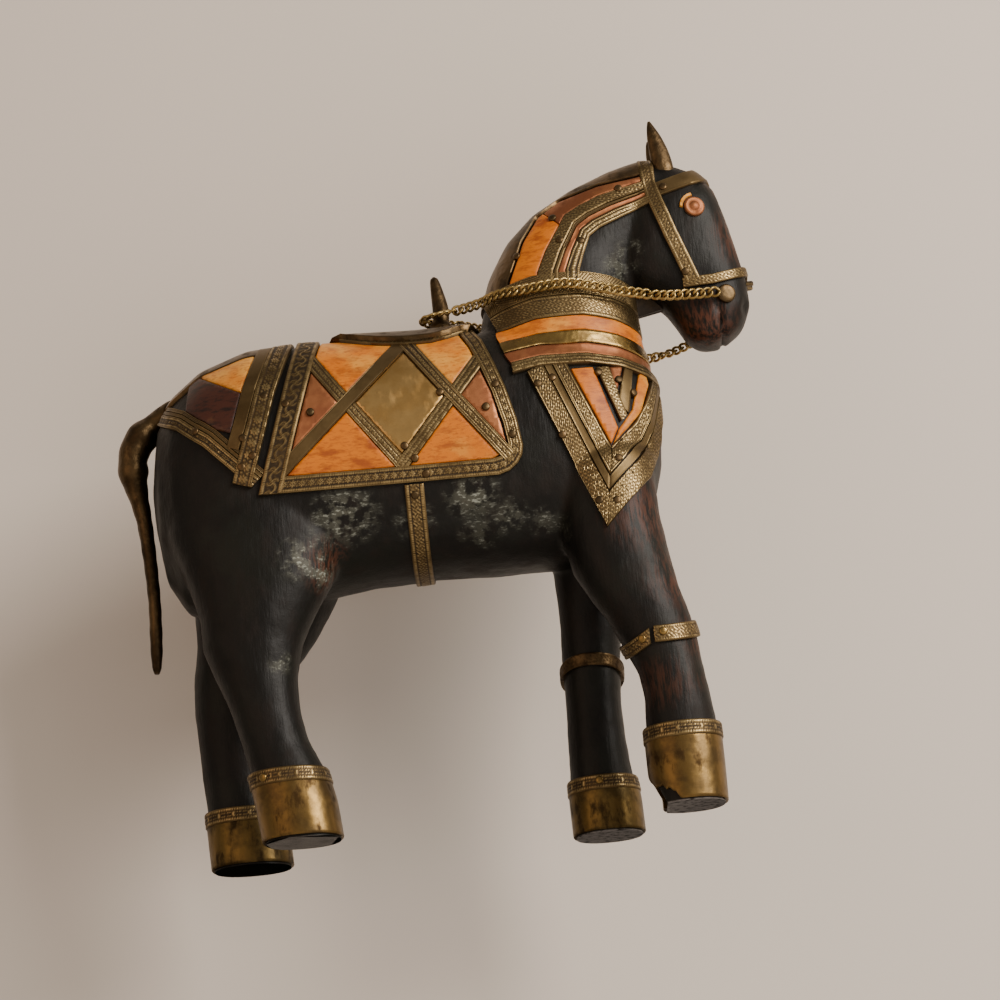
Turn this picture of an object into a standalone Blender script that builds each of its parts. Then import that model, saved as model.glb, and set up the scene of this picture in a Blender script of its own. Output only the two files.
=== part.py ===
"""Carved wooden horse with brass, copper and bone trappings. Metres, +Z up, head towards +X."""

import math

import bmesh
import bpy
from mathutils import Vector

# Soles to ear tips. The carving is drawn in millimetres on a horse DRAWN_HEIGHT tall.
FIGURE_HEIGHT = 0.277
DRAWN_HEIGHT = 277.0

# How the metal and bone are laid on the wood, in metres.
FIT_GAP = 0.0003
SHEET_LIFT = 0.0005
SHEET_THICKNESS = 0.0011
TILE_THICKNESS = 0.0009
SEAT_THICKNESS = 0.0034
DISC_THICKNESS = 0.0016
SADDLE_BORDER = 0.0066
SADDLE_REAR_BORDER = 0.0084
SADDLE_FRONT_BORDER = 0.0056
LATTICE_STRAP = 0.0050
CROUP_STRAP = 0.0082
CROUP_REAR_STRAP = 0.0128
CHEST_STRAP = 0.0148
CHEST_BONE = 0.0078
CHEST_FRONT_BONE = 0.0044
BRIDLE_STRAP = 0.0056
NOSEBAND = 0.0040
GIRTH_STRAP = 0.0072
LEG_BAND = 0.0062
EYE_RADIUS = 0.0041
BIT_RADIUS = 0.0037
CHAIN_RADIUS = 0.0017
COLLAR_HEIGHTS = (0.0100, 0.0092, 0.0064, 0.0056, 0.0054, 0.0046)
COLLAR_NAMES = ("top", "second", "bone", "brass", "copper", "lower")

# The trappings' outlines are carried across the horse on this slant, rising towards its middle.
LEAN = math.tan(math.radians(17.0))

# How finely the carving is melted together, softened and thinned out.
RING_POINTS = 28
VOXEL = 0.0017
SOFTEN_FACTOR = 0.5
SOFTEN_ROUNDS = 6
BODY_FACES = 1900
FLAT_ENOUGH = math.radians(3.5)
SHARP_EDGE = math.radians(35.0)
WELD = 0.00002
TOUCHING = 1e-6

# How far the cutters run past what they cut, in drawn millimetres.
CLEAR = 3.0
FAR_OUT = 70.0
FURTHER_OUT = 78.0
CREST_REACH = 20.0

# A cross-section of the carving: two points of its outline in the side view (x, z, x, z),
# the y of its middle, its half width, and how square it is (2 is an ellipse).
TORSO = [
    (-92.0, 128, -92.0, 150, 0, 10, 2.0),
    (-89.0, 108, -89.0, 170, 0, 21, 2.0),
    (-82.0, 96, -82.0, 181, 0, 29, 2.1),
    (-70.0, 93, -70.0, 190, 0, 34.5, 2.2),
    (-52.0, 94, -52.0, 196, 0, 37, 2.3),
    (-32.0, 98, -32.0, 197, 0, 37.5, 2.3),
    (-10.0, 101, -10.0, 196, 0, 37, 2.3),
    (14.0, 102, 14.0, 195, 0, 36.5, 2.3),
    (38.0, 101, 38.0, 196, 0, 36, 2.3),
    (58.0, 101, 58.0, 197, 0, 35, 2.2),
    (76.0, 103, 76.0, 194, 0, 33, 2.2),
    (90.0, 110, 90.0, 188, 0, 29.5, 2.1),
    (99.0, 122, 99.0, 180, 0, 23, 2.0),
    (103.5, 138, 103.5, 170, 0, 13, 2.0),
]
NECK = [
    (98, 148, 34, 180, 0, 27, 2.2),
    (103, 170, 38, 196, 0, 26, 2.2),
    (100, 186, 40.5, 206, 0, 24, 2.2),
    (99, 199, 45, 219, 0, 21.5, 2.2),
    (99, 208, 52.5, 232, 0, 19.5, 2.2),
    (101, 216, 63.5, 243, 0, 17.5, 2.2),
    (106, 225, 79, 252, 0, 16, 2.2),
    (113, 236, 95, 258.5, 0, 14.5, 2.2),
    (119, 246, 107, 261.5, 0, 13, 2.2),
]
HEAD = [
    (110, 262, 98, 240, 0, 11, 2.2),
    (119, 260.5, 95, 223, 0, 14.5, 2.4),
    (129, 255, 96.5, 212, 0, 16.5, 2.7),
    (135.5, 247.5, 102, 207.5, 0, 16.5, 2.8),
    (138.5, 236, 107.5, 204, 0, 15.5, 2.8),
    (141.5, 222, 111.5, 199.5, 0, 14, 2.7),
    (144, 209, 115, 193.5, 0, 12.8, 2.6),
    (144.5, 199, 118, 187.5, 0, 12.2, 2.5),
    (141, 190.5, 122, 184, 0, 10.5, 2.3),
    (135, 185.5, 127.5, 183.5, 0, 7, 2.0),
]
RIGHT_FORELEG = [
    (60, 130, 99, 135, -16, 17.5, 2.2),
    (62, 106, 99.5, 112, -18, 17, 2.2),
    (65, 92, 101.5, 96, -20, 15.5, 2.2),
    (70, 82, 103.5, 83, -21.5, 13.8, 2.2),
    (76, 72, 106.5, 71, -22.3, 12.8, 2.2),
    (81, 60, 108.2, 62, -22.8, 12.2, 2.2),
    (85, 51, 108.8, 53, -23, 11.5, 2.2),
    (86.2, 41, 110.6, 40, -23, 11.3, 2.2),
    (85.5, 28, 112, 28, -23, 12, 2.2),
    (85.5, 14, 112, 14, -23, 12.7, 2.2),
    (87, -10, 111.5, -10, -23, 12.7, 2.2),
]
LEFT_FORELEG = [
    (54, 130, 97, 132, 16, 17.5, 2.2),
    (58, 106, 90, 108, 19, 15.5, 2.2),
    (58.5, 84, 83, 85, 22, 12.8, 2.2),
    (58, 66, 80.3, 67, 23, 11.8, 2.2),
    (57.7, 47, 79, 47, 23, 11.2, 2.2),
    (56.8, 28, 80, 28, 23, 11.8, 2.2),
    (56.5, 14, 82, 14, 23, 12.7, 2.2),
    (57, -10, 82.5, -10, 23, 12.7, 2.2),
]
RIGHT_HIND_LEG = [
    (-88, 150, -25, 142, -16, 19.5, 2.2),
    (-86, 120, -20, 114, -18, 19, 2.2),
    (-79, 99, -25, 98, -20, 17, 2.2),
    (-75.5, 86, -32.5, 86, -21.5, 15.3, 2.2),
    (-75.3, 75, -38, 75, -22.3, 13.8, 2.2),
    (-70.5, 62, -40.8, 62, -22.8, 12.5, 2.2),
    (-66.3, 50, -40.7, 50, -23, 11.8, 2.2),
    (-63, 38, -38.5, 38, -23, 11.5, 2.2),
    (-60.5, 26, -33.5, 27, -23, 12.2, 2.2),
    (-58.5, 14, -30.5, 14, -23, 13, 2.2),
    (-55.5, -10, -28, -10, -23, 13, 2.2),
]
LEFT_HIND_LEG = [
    (-88, 150, -25, 142, 16, 19.5, 2.2),
    (-86, 120, -20, 116, 18, 19, 2.2),
    (-82, 101, -27, 101, 20, 17, 2.2),
    (-82, 87, -36, 87, 21.5, 15, 2.2),
    (-84.3, 75, -45, 76, 22.3, 13.5, 2.2),
    (-84.6, 62, -53, 63, 22.8, 12.5, 2.2),
    (-84, 50, -56.5, 50, 23, 11.8, 2.2),
    (-83, 34, -57.5, 34, 23, 11.5, 2.2),
    (-82, 22, -55, 22, 23, 12.2, 2.2),
    (-81.5, 12, -52.5, 12, 23, 13, 2.2),
    (-80.5, -10, -51, -10, 23, 13, 2.2),
]

# Outlines in the side view (x, z), anticlockwise as seen from the horse's right.
# Each PLANE is the distance from the middle at which its outlines have their drawn height.
SADDLE_PLANE = 35.0
SADDLE_OUTLINE = [
    (-49.5, 129.6), (40.5, 129.0), (47.5, 132.5), (50.6, 139.5), (46.0, 163.0), (38.8, 182.5),
    (28.0, 200.0), (-28.5, 200.0),
]
SEAT_LINE = [(-40.0, 184.5), (45.0, 184.5)]
LATTICE_TOP = (9.0, 184.5)
LATTICE_FOOT = (5.0, 136.6)
LATTICE_REAR_FOOT = (-40.0, 138.2)
LATTICE_FRONT_FOOT = (44.2, 137.2)
LATTICE_REAR_TOP = (-29.5, 184.0)
LATTICE_FRONT_TOP = (38.5, 177.0)

CROUP_PLANE = 33.0
CROUP_OUTLINE = [
    (-51.8, 133.6), (-45.2, 155.0), (-40.8, 169.8), (-32.0, 194.5), (-78.0, 194.5), (-79.5, 159.5),
    (-69.4, 151.6),
]
CROUP_SPLIT = [(-72.0, 181.0), (-50.0, 169.5)]

CHEST_PLANE = 30.0
CHEST_TOP = 174.0
CHEST_REAR_TOP = (55.5, 167.0)
CHEST_EDGE = [(78.8, 106.4), (87.6, 115.6), (95.9, 123.6), (100.2, 132.6), (104.5, 152.0), (112.0, CHEST_TOP)]
CHEST_FIELD_EDGE = [(83.2, 136.6), (96.3, 149.8), (100.2, 160.8), (105.0, CHEST_TOP)]
CHEST_FRONT_BONE_LINE = [(84.0, 139.6), (93.6, 150.4), (97.9, 161.6), (102.0, CHEST_TOP)]

MANE_PLANE = 15.0
CREST_EDGE = [
    (51.0, 206.0), (51.4, 212.3), (58.3, 228.7), (65.1, 238.6), (74.2, 244.6), (89.3, 249.4), (106.5, 252.2),
]
MANE_EDGE = [
    (62.5, 206.0), (62.9, 214.9), (66.9, 223.7), (75.7, 238.0), (88.9, 244.6), (107.2, 249.4),
]
MANE_INNER_EDGE = [
    (78.0, 206.0), (78.9, 214.9), (84.1, 228.2), (88.3, 231.4), (109.8, 240.2),
]
MANE_SPLIT = [(64.5, 243.0), (73.6, 233.8)]

HEAD_PLANE = 14.5
CHEEK_STRAP = [(108.8, 262.0), (109.4, 248.6), (111.0, 242.4), (115.6, 226.7), (121.6, 209.5), (122.6, 206.6)]
BROWBAND = [(112.0, 245.4), (128.8, 249.8), (142.0, 252.5)]
NOSEBAND_LINE = [(118.6, 206.2), (130.0, 206.6), (147.0, 209.8)]
EYE_CENTRE = (126.1, 237.2)
BIT_CENTRE = (134.6, 200.1)

# The collar's top edge in the side view, from the withers to the throat. It arches with the neck.
COLLAR_REAR = [(41.2, 212.0), (51.2, 163.0)]
COLLAR_LINE = [(30.0, 204.0), (47.0, 209.3), (60.0, 212.0), (78.0, 212.4), (90.0, 210.8), (108.0, 206.0)]
GIRTH_LINE = [(8.6, 128.2), (8.6, 60.0)]

# Tail, ear, horn and rein: the points of each centre line as (x, y, z, radius).
TAIL = [
    (-80.0, 0, 179.0, 4.2), (-88.0, 0, 175.5, 4.8), (-95.0, 0, 170.0, 5.6), (-99.6, 0, 162.5, 6.1),
    (-100.2, 0, 154.0, 5.5), (-98.8, 0, 145.0, 3.9), (-97.0, 0, 134.0, 3.0), (-95.7, 0, 118.0, 2.6),
    (-95.0, 0, 102.0, 2.4), (-95.2, 0, 87.0, 2.4), (-95.5, 0, 77.5, 1.9), (-95.7, 0, 74.0, 0.9),
]
EAR = [
    (116.5, -8.0, 254.0, 4.2), (116.0, -8.3, 259.5, 4.1), (115.2, -8.8, 264.5, 3.7),
    (114.0, -9.4, 270.0, 2.8), (113.0, -9.8, 274.5, 1.5), (112.6, -10.0, 277.0, 0.5),
]
HORN = [
    (23.4, 0, 194.0, 4.6), (23.4, 0, 202.5, 4.4), (23.6, 0, 205.0, 3.2), (23.8, 0, 210.0, 3.1),
    (22.9, 0, 218.0, 2.2), (22.3, 0, 223.6, 1.2),
]
REIN = [
    (129.8, -16.7, 200.4), (120.4, -18.0, 200.0), (108.8, -20.0, 200.0), (97.3, -22.0, 201.7),
    (90.5, -24.3, 202.6), (83.7, -25.7, 204.0), (76.9, -26.4, 205.6), (70.4, -26.6, 206.2),
    (63.4, -26.3, 205.8), (56.4, -24.9, 205.6), (49.4, -21.7, 206.0), (42.2, -15.8, 205.9),
    (35.0, -10.8, 205.8), (28.5, -7.6, 205.9), (22.8, -5.7, 206.0), (18.4, -3.3, 206.0),
    (17.0, 0.0, 206.0), (18.4, 3.3, 206.0), (22.8, 5.7, 206.0), (28.5, 7.8, 205.9),
    (35.0, 11.2, 205.6), (42.2, 16.2, 205.2), (49.4, 22.0, 204.4), (56.4, 25.5, 203.2),
    (63.4, 27.6, 201.2), (70.3, 28.4, 198.6), (78.0, 28.6, 195.6), (85.5, 27.8, 192.8),
    (92.5, 25.8, 190.4), (99.5, 21.8, 188.9), (106.5, 19.0, 188.6), (114.0, 17.4, 189.7),
    (121.5, 16.8, 192.6), (127.0, 16.8, 196.2), (129.8, 16.9, 200.2),
]
LEG_BAND_PLANE = 28.0
FORELEG_BAND_RIGHT = [(77.0, 52.8), (91.0, 63.0), (118.0, 63.0)]
FORELEG_BAND_LEFT = [(50.0, 62.2), (90.0, 61.0)]
HOOF_CHIP_PLANE = 32.0
HOOF_CHIP = [(76.0, -4.0), (90.5, -4.0), (88.6, 3.6), (86.8, 7.6), (76.0, 10.4)]
# Each hoof's cap: which side, the span of x that holds the hoof, and the height of its top edge.
HOOVES = {
    "hoof_cap_front_right": ("right", (76.0, 122.0), 29.4),
    "hoof_cap_front_left": ("left", (46.0, 92.0), 21.6),
    "hoof_cap_hind_right": ("right", (-70.0, -20.0), 26.0),
    "hoof_cap_hind_left": ("left", (-96.0, -42.0), 22.4),
}

# Base colour, roughness and metallic value.
FINISHES = {
    "wood": ((0.016, 0.013, 0.010), 0.42, 0.0),
    "brass": ((0.24, 0.16, 0.06), 0.38, 1.0),
    "dark_brass": ((0.09, 0.06, 0.03), 0.50, 1.0),
    "copper": ((0.36, 0.13, 0.05), 0.40, 1.0),
    "bone": ((0.66, 0.32, 0.08), 0.45, 0.0),
    "dark_bone": ((0.10, 0.035, 0.02), 0.45, 0.0),
}


def mm(length):
    """A length drawn in millimetres, in metres at the figure's real height."""
    return length * FIGURE_HEIGHT / DRAWN_HEIGHT


def drawn(points):
    return [tuple(mm(value) for value in point) for point in points]


def clear_scene():
    for thing in list(bpy.data.objects):
        bpy.data.objects.remove(thing, do_unlink=True)


def collection(name):
    made = bpy.data.collections.new(name)
    bpy.context.scene.collection.children.link(made)
    return made


def finish(name):
    """The plain material of one finish, made once."""
    if name in bpy.data.materials:
        return bpy.data.materials[name]
    colour, roughness, metallic = FINISHES[name]
    material = bpy.data.materials.new(name)
    material.use_nodes = True
    shader = material.node_tree.nodes["Principled BSDF"]
    shader.inputs["Base Color"].default_value = (*colour, 1.0)
    shader.inputs["Roughness"].default_value = roughness
    shader.inputs["Metallic"].default_value = metallic
    return material


def mesh_object(name, mesh, group, finish_name="brass"):
    data = bpy.data.meshes.new(name)
    mesh.to_mesh(data)
    mesh.free()
    made = bpy.data.objects.new(name, data)
    made.data.materials.append(finish(finish_name))
    group.objects.link(made)
    return made


def bake(thing):
    """Gives an object the mesh that its modifiers make, and clears them."""
    graph = bpy.context.evaluated_depsgraph_get()
    done = bpy.data.meshes.new_from_object(thing.evaluated_get(graph))
    thing.modifiers.clear()
    thing.data = done
    return thing


def boolean(thing, operation, cutter, solver="MANIFOLD"):
    """One Boolean, baked.

    EXACT loses pieces here, because the swollen carving folds into itself between the legs.
    """
    step = thing.modifiers.new(operation.lower(), "BOOLEAN")
    step.operation = operation
    step.solver = solver
    step.object = cutter
    bpy.context.view_layer.update()
    return bake(thing)


def tidy_faces(thing, angle):
    """Joins neighbouring faces that lie almost in one plane."""
    mesh = bmesh.new()
    mesh.from_mesh(thing.data)
    bmesh.ops.remove_doubles(mesh, verts=mesh.verts[:], dist=WELD)
    bmesh.ops.dissolve_limit(mesh, angle_limit=angle, verts=mesh.verts[:], edges=mesh.edges[:])
    bmesh.ops.triangulate(mesh, faces=mesh.faces[:])
    mesh.to_mesh(thing.data)
    mesh.free()
    return thing


def signed_power(value, power):
    return math.copysign(abs(value) ** power, value)


def section_ring(station):
    """The points of one cross-section of the carving."""
    ax, az, bx, bz, y, half_width, squareness = station
    first, last = Vector((mm(ax), mm(y), mm(az))), Vector((mm(bx), mm(y), mm(bz)))
    middle, half = (first + last) / 2, (last - first) / 2
    side = Vector((0, mm(half_width), 0))
    points = []
    for step in range(RING_POINTS):
        angle = 2 * math.pi * step / RING_POINTS
        along = signed_power(math.cos(angle), 2 / squareness)
        across = signed_power(math.sin(angle), 2 / squareness)
        points.append(middle + half * along + side * across)
    return points


def loft(mesh, rings):
    """A closed skin through rings of as many points each, added to a bmesh."""
    rows = [[mesh.verts.new(point) for point in ring] for ring in rings]
    faces = [mesh.faces.new(rows[0]), mesh.faces.new(rows[-1])]
    count = len(rows[0])
    for row, following in zip(rows, rows[1:]):
        for step in range(count):
            after = (step + 1) % count
            faces.append(mesh.faces.new((row[step], row[after], following[after], following[step])))
    bmesh.ops.recalc_face_normals(mesh, faces=faces)


def carve_body(group):
    """The horse as one carving: lofts melted together, smoothed, thinned out and cut flat at the soles."""
    mesh = bmesh.new()
    for stations in (TORSO, NECK, HEAD, RIGHT_FORELEG, LEFT_FORELEG, RIGHT_HIND_LEG, LEFT_HIND_LEG):
        loft(mesh, [section_ring(station) for station in stations])
    body = mesh_object("horse_body", mesh, group, "wood")
    melt = body.modifiers.new("melt", "REMESH")
    melt.mode = "VOXEL"
    melt.voxel_size = VOXEL
    soften = body.modifiers.new("soften", "SMOOTH")
    soften.factor = SOFTEN_FACTOR
    soften.iterations = SOFTEN_ROUNDS
    bake(body)
    thin = body.modifiers.new("thin", "DECIMATE")
    thin.ratio = min(1.0, BODY_FACES / (2 * len(body.data.polygons)))
    return bake(body)


def cut_soles(body):
    """Cuts the hooves off flat on the ground."""
    mesh = bmesh.new()
    mesh.from_mesh(body.data)
    everything = mesh.verts[:] + mesh.edges[:] + mesh.faces[:]
    bmesh.ops.bisect_plane(mesh, geom=everything, plane_co=(0, 0, 0), plane_no=(0, 0, -1), clear_outer=True)
    bmesh.ops.holes_fill(mesh, edges=[edge for edge in mesh.edges if edge.is_boundary])
    bmesh.ops.recalc_face_normals(mesh, faces=mesh.faces[:])
    mesh.to_mesh(body.data)
    mesh.free()


def offset_body(body, distance, cutters):
    """A copy of the carving that stands a little proud of it, kept among the cutters."""
    name = f"body_plus_{distance * 1e6:.0f}"
    if name in bpy.data.objects:
        return bpy.data.objects[name]
    copy = bpy.data.objects.new(name, body.data.copy())
    cutters.objects.link(copy)
    swell = copy.modifiers.new("swell", "DISPLACE")
    swell.strength = distance
    swell.mid_level = 0.0
    bpy.context.view_layer.update()
    return hide(bake(copy))


def hide(cutter):
    cutter.hide_render = True
    cutter.display_type = "WIRE"
    return cutter


def distance_inside(point, start, end):
    """How far a point lies to the left of the line from start to end."""
    along_x, along_z = end[0] - start[0], end[1] - start[1]
    across = along_x * (point[1] - start[1]) - along_z * (point[0] - start[0])
    return across / math.hypot(along_x, along_z)


def keep_left(outline, line, inset=0.0):
    """The part of an outline that lies at least inset to the left of a line."""
    kept = []
    for point, following in zip(outline, outline[1:] + outline[:1]):
        here = distance_inside(point, *line) - inset
        there = distance_inside(following, *line) - inset
        if here >= 0:
            kept.append(point)
        if here * there < 0:
            share = here / (here - there)
            kept.append(tuple(a + share * (b - a) for a, b in zip(point, following)))
    return kept


def keep_right(outline, line, inset=0.0):
    return keep_left(outline, [line[1], line[0]], inset)


def taller(outline, rise):
    """The outline with its top edge moved up, so that what is cut out of it leaves no skin there."""
    top = max(z for _, z in outline)
    return [(x, z + rise if z > top - TOUCHING else z) for x, z in outline]


def shrink(outline, inset):
    """An outline moved in by the same amount all round, also where it bends inwards."""
    moved = []
    for before, point, after in zip(outline[-1:] + outline[:-1], outline, outline[1:] + outline[:1]):
        arriving = Vector((point[0] - before[0], point[1] - before[1])).normalized()
        leaving = Vector((after[0] - point[0], after[1] - point[1])).normalized()
        inward = Vector((-arriving.y - leaving.y, arriving.x + leaving.x))
        step = inward * inset / (1 + arriving.dot(leaving))
        moved.append((point[0] + step.x, point[1] + step.y))
    return moved


def beside(line, distance):
    """A line of points moved to the left of its run."""
    moved = []
    for index, point in enumerate(line):
        before, after = line[max(index - 1, 0)], line[min(index + 1, len(line) - 1)]
        run = Vector((after[0] - before[0], after[1] - before[1])).normalized()
        moved.append((point[0] - run.y * distance, point[1] + run.x * distance))
    return moved


def strap(line, width):
    """The outline of a strap of one width along a line of points."""
    return beside(line, -width / 2) + beside(line, width / 2)[::-1]


def disc(centre, radius, points=16):
    turns = [2 * math.pi * step / points for step in range(points)]
    return [(centre[0] + radius * math.cos(turn), centre[1] + radius * math.sin(turn)) for turn in turns]


def leaning_prism(name, outline, plane, across, cutters):
    """A side-view outline carried across the horse, between two values of y, on the maker's line of sight."""
    start, end = across
    levels = [start, 0.0, end] if start < 0 < end else [start, end]
    rings = [[(x, y, z + LEAN * (plane - abs(y))) for x, z in outline] for y in levels]
    mesh = bmesh.new()
    loft(mesh, rings)
    return hide(mesh_object(name, mesh, cutters))


def block(name, low, high, cutters):
    """A box between two corners, kept among the cutters."""
    mesh = bmesh.new()
    bmesh.ops.create_cube(mesh, size=1.0)
    size = Vector(high) - Vector(low)
    bmesh.ops.scale(mesh, vec=size, verts=mesh.verts)
    bmesh.ops.translate(mesh, vec=(Vector(high) + Vector(low)) / 2, verts=mesh.verts)
    return hide(mesh_object(name, mesh, cutters))


class Workshop:
    """Lays sheet metal and bone on the carving."""

    def __init__(self, body, parts, cutters):
        self.body, self.parts, self.cutters = body, parts, cutters

    def sheet(self, name, prisms, holes=(), thickness=SHEET_THICKNESS, finish_name="brass"):
        """A sheet that follows the wood inside the prisms and outside the holes."""
        made = bpy.data.objects.new(name, prisms[0].data.copy())
        made.data.materials.clear()
        made.data.materials.append(finish(finish_name))
        self.parts.objects.link(made)
        for prism in prisms[1:]:
            boolean(made, "UNION", prism)
        for hole in holes:
            boolean(made, "DIFFERENCE", hole)
        boolean(made, "INTERSECT", offset_body(self.body, SHEET_LIFT + thickness, self.cutters))
        boolean(made, "DIFFERENCE", offset_body(self.body, SHEET_LIFT, self.cutters))
        tidy_faces(made, FLAT_ENOUGH)
        return boolean(made, "DIFFERENCE", offset_body(self.body, SHEET_LIFT / 2, self.cutters))

    def prism(self, name, outline, plane, across):
        return leaning_prism(f"{name}_prism", outline, mm(plane), across, self.cutters)


SIDES = {"right": (-mm(FAR_OUT), -FIT_GAP), "left": (FIT_GAP, mm(FAR_OUT))}
ROOM_SIDES = {"right": (-mm(FURTHER_OUT), 2 * FIT_GAP), "left": (-2 * FIT_GAP, mm(FURTHER_OUT))}
BOTH_SIDES = (-mm(FAR_OUT), mm(FAR_OUT))
ROOM_BOTH_SIDES = (-mm(FURTHER_OUT), mm(FURTHER_OUT))


def saddle_shapes(overlap):
    """The saddle cloth's outlines: the whole, the seat, and each tile between the lattice straps."""
    whole = drawn(SADDLE_OUTLINE)
    inner = taller(whole, mm(CLEAR))
    edges = list(zip(inner, inner[1:] + inner[:1]))
    borders = [SADDLE_BORDER] * 2 + [SADDLE_FRONT_BORDER] * 4 + [0.0, SADDLE_REAR_BORDER]
    for edge, border in zip(edges, borders):
        inner = keep_left(inner, edge, border)
    seat_line = drawn(SEAT_LINE)
    seat = keep_left(inner, seat_line)
    field = keep_right(inner, seat_line, -overlap)
    rear_rising = drawn([LATTICE_REAR_FOOT, LATTICE_TOP])
    front_falling = drawn([LATTICE_TOP, LATTICE_FRONT_FOOT])
    rear_falling = drawn([LATTICE_REAR_TOP, LATTICE_FOOT])
    front_rising = drawn([LATTICE_FOOT, LATTICE_FRONT_TOP])
    half = LATTICE_STRAP / 2
    above_rear, below_rear = keep_left(field, rear_rising, half), keep_right(field, rear_rising, half)
    above_front, below_front = keep_left(field, front_falling, half), keep_right(field, front_falling, half)
    tiles = {
        "saddle_diamond": keep_left(
            keep_left(keep_right(below_rear, front_falling, half), rear_falling, half), front_rising, half
        ),
        "saddle_bone_rear_top": keep_left(above_rear, rear_falling, half),
        "saddle_copper_rear": keep_right(above_rear, rear_falling, half),
        "saddle_bone_rear_foot": keep_right(below_rear, rear_falling, half),
        "saddle_bone_front_top": keep_left(above_front, front_rising, half),
        "saddle_copper_front": keep_right(above_front, front_rising, half),
        "saddle_bone_front_foot": keep_right(below_front, front_rising, half),
    }
    return whole, seat, tiles


def fit_saddle(shop):
    whole, seat, tiles = saddle_shapes(0.0)
    rooms = saddle_shapes(mm(CLEAR))[2]
    seat_room = shop.prism("seat_room", seat, SADDLE_PLANE, ROOM_BOTH_SIDES)
    seat_prism = shop.prism("seat", shrink(seat, FIT_GAP), SADDLE_PLANE, BOTH_SIDES)
    shop.sheet("saddle_seat", [seat_prism], thickness=SEAT_THICKNESS)
    for side, across in SIDES.items():
        holes = [seat_room]
        for name, outline in tiles.items():
            kind = "brass" if name == "saddle_diamond" else name.split("_")[1]
            holes.append(shop.prism(f"{name}_room_{side}", rooms[name], SADDLE_PLANE, ROOM_SIDES[side]))
            tile = shop.prism(f"{name}_{side}", shrink(outline, FIT_GAP), SADDLE_PLANE, across)
            shop.sheet(f"{name}_{side}", [tile], (), TILE_THICKNESS, kind)
        cloth = shop.prism(f"saddle_frame_{side}", whole, SADDLE_PLANE, across)
        shop.sheet(f"saddle_frame_{side}", [cloth], holes)


def fit_croup(shop):
    whole = drawn(CROUP_OUTLINE)
    rear_edge, spare = (whole[4], whole[5]), mm(CLEAR)
    beyond = taller([(x - spare, z) if (x, z) in rear_edge else (x, z) for x, z in whole], spare)
    strap_edge = beside([beyond[5], whole[6], whole[0]], CROUP_STRAP)
    field = [*strap_edge, *beyond[1:5]]
    for edge in zip(beyond[:3], beyond[1:4]):
        field = keep_left(field, edge, CROUP_REAR_STRAP)
    inlaid, split = keep_left(field, rear_edge), drawn(CROUP_SPLIT)
    tiles = {
        "croup_bone": (keep_left(inlaid, split), "bone"),
        "croup_tile": (keep_right(inlaid, split), "dark_bone"),
    }
    for side, across in SIDES.items():
        room = shop.prism(f"croup_room_{side}", field, CROUP_PLANE, ROOM_SIDES[side])
        for name, (outline, kind) in tiles.items():
            tile = shop.prism(f"{name}_{side}", shrink(outline, FIT_GAP), CROUP_PLANE, across)
            shop.sheet(f"{name}_{side}", [tile], (), TILE_THICKNESS, kind)
        frame = shop.prism(f"croup_frame_{side}", whole, CROUP_PLANE, across)
        shop.sheet(f"croup_frame_{side}", [frame], [room])


def collar_levels():
    """How far each collar band's top edge lies below the collar's own, and its foot's."""
    levels, depth = [], 0.0
    for height in COLLAR_HEIGHTS:
        levels.append((depth, depth + height - 2 * FIT_GAP))
        depth += height
    return levels


def collar_outline(top, foot):
    line = drawn(COLLAR_LINE)
    band = [(x, z - foot) for x, z in line] + [(x, z - top) for x, z in reversed(line)]
    return keep_left(band, drawn(COLLAR_REAR))


def collar_prism(name, top, foot, cutters, levels=BOTH_SIDES):
    mesh = bmesh.new()
    outline = collar_outline(top, foot)
    loft(mesh, [[(x, y, z) for x, z in outline] for y in levels])
    return hide(mesh_object(name, mesh, cutters))


def collar_room(shop):
    """The space of the whole collar and a little more, which its neighbours keep out of."""
    if "collar_room" in bpy.data.objects:
        return bpy.data.objects["collar_room"]
    depth = collar_levels()[-1][1] + FIT_GAP
    return collar_prism("collar_room", -FIT_GAP, depth, shop.cutters, ROOM_BOTH_SIDES)


def fit_collar(shop):
    kinds = {"bone": "bone", "copper": "copper"}
    for name, (top, foot) in zip(COLLAR_NAMES, collar_levels()):
        prism = collar_prism(f"collar_{name}_prism", top, foot, shop.cutters)
        shop.sheet(f"collar_{name}", [prism], finish_name=kinds.get(name, "brass"))


def fit_chest(shop):
    edge, (rear_top,) = drawn(CHEST_EDGE), drawn([CHEST_REAR_TOP])
    apex, top = edge[0], mm(CHEST_TOP)
    share = (top - apex[1]) / (rear_top[1] - apex[1])
    rear_top = (apex[0] + (rear_top[0] - apex[0]) * share, top)
    rear = (rear_top, apex)
    whole = [*edge, rear_top]
    field_edge = drawn(CHEST_FIELD_EDGE)
    field = keep_left([*field_edge, rear_top], rear, CHEST_STRAP)
    rear_bone = keep_right(field, rear, -CHEST_STRAP - CHEST_BONE)
    front_bone = keep_left(
        strap(drawn(CHEST_FRONT_BONE_LINE), CHEST_FRONT_BONE), rear, CHEST_STRAP + CHEST_BONE + FIT_GAP
    )
    for line in zip(field_edge, field_edge[1:]):
        front_bone = keep_left(front_bone, line, FIT_GAP)
    room = collar_room(shop)
    tiles = (("chest_bone_rear", shrink(rear_bone, FIT_GAP)), ("chest_bone_front", front_bone))
    for side, across in SIDES.items():
        holes = [room]
        for name, outline in tiles:
            tile = shop.prism(f"{name}_{side}", outline, CHEST_PLANE, across)
            shop.sheet(f"{name}_{side}", [tile], [room], TILE_THICKNESS, "bone")
        holes.append(shop.prism(f"chest_room_{side}", field, CHEST_PLANE, ROOM_SIDES[side]))
        frame = shop.prism(f"chest_frame_{side}", whole, CHEST_PLANE, across)
        shop.sheet(f"chest_frame_{side}", [frame], holes)


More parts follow.
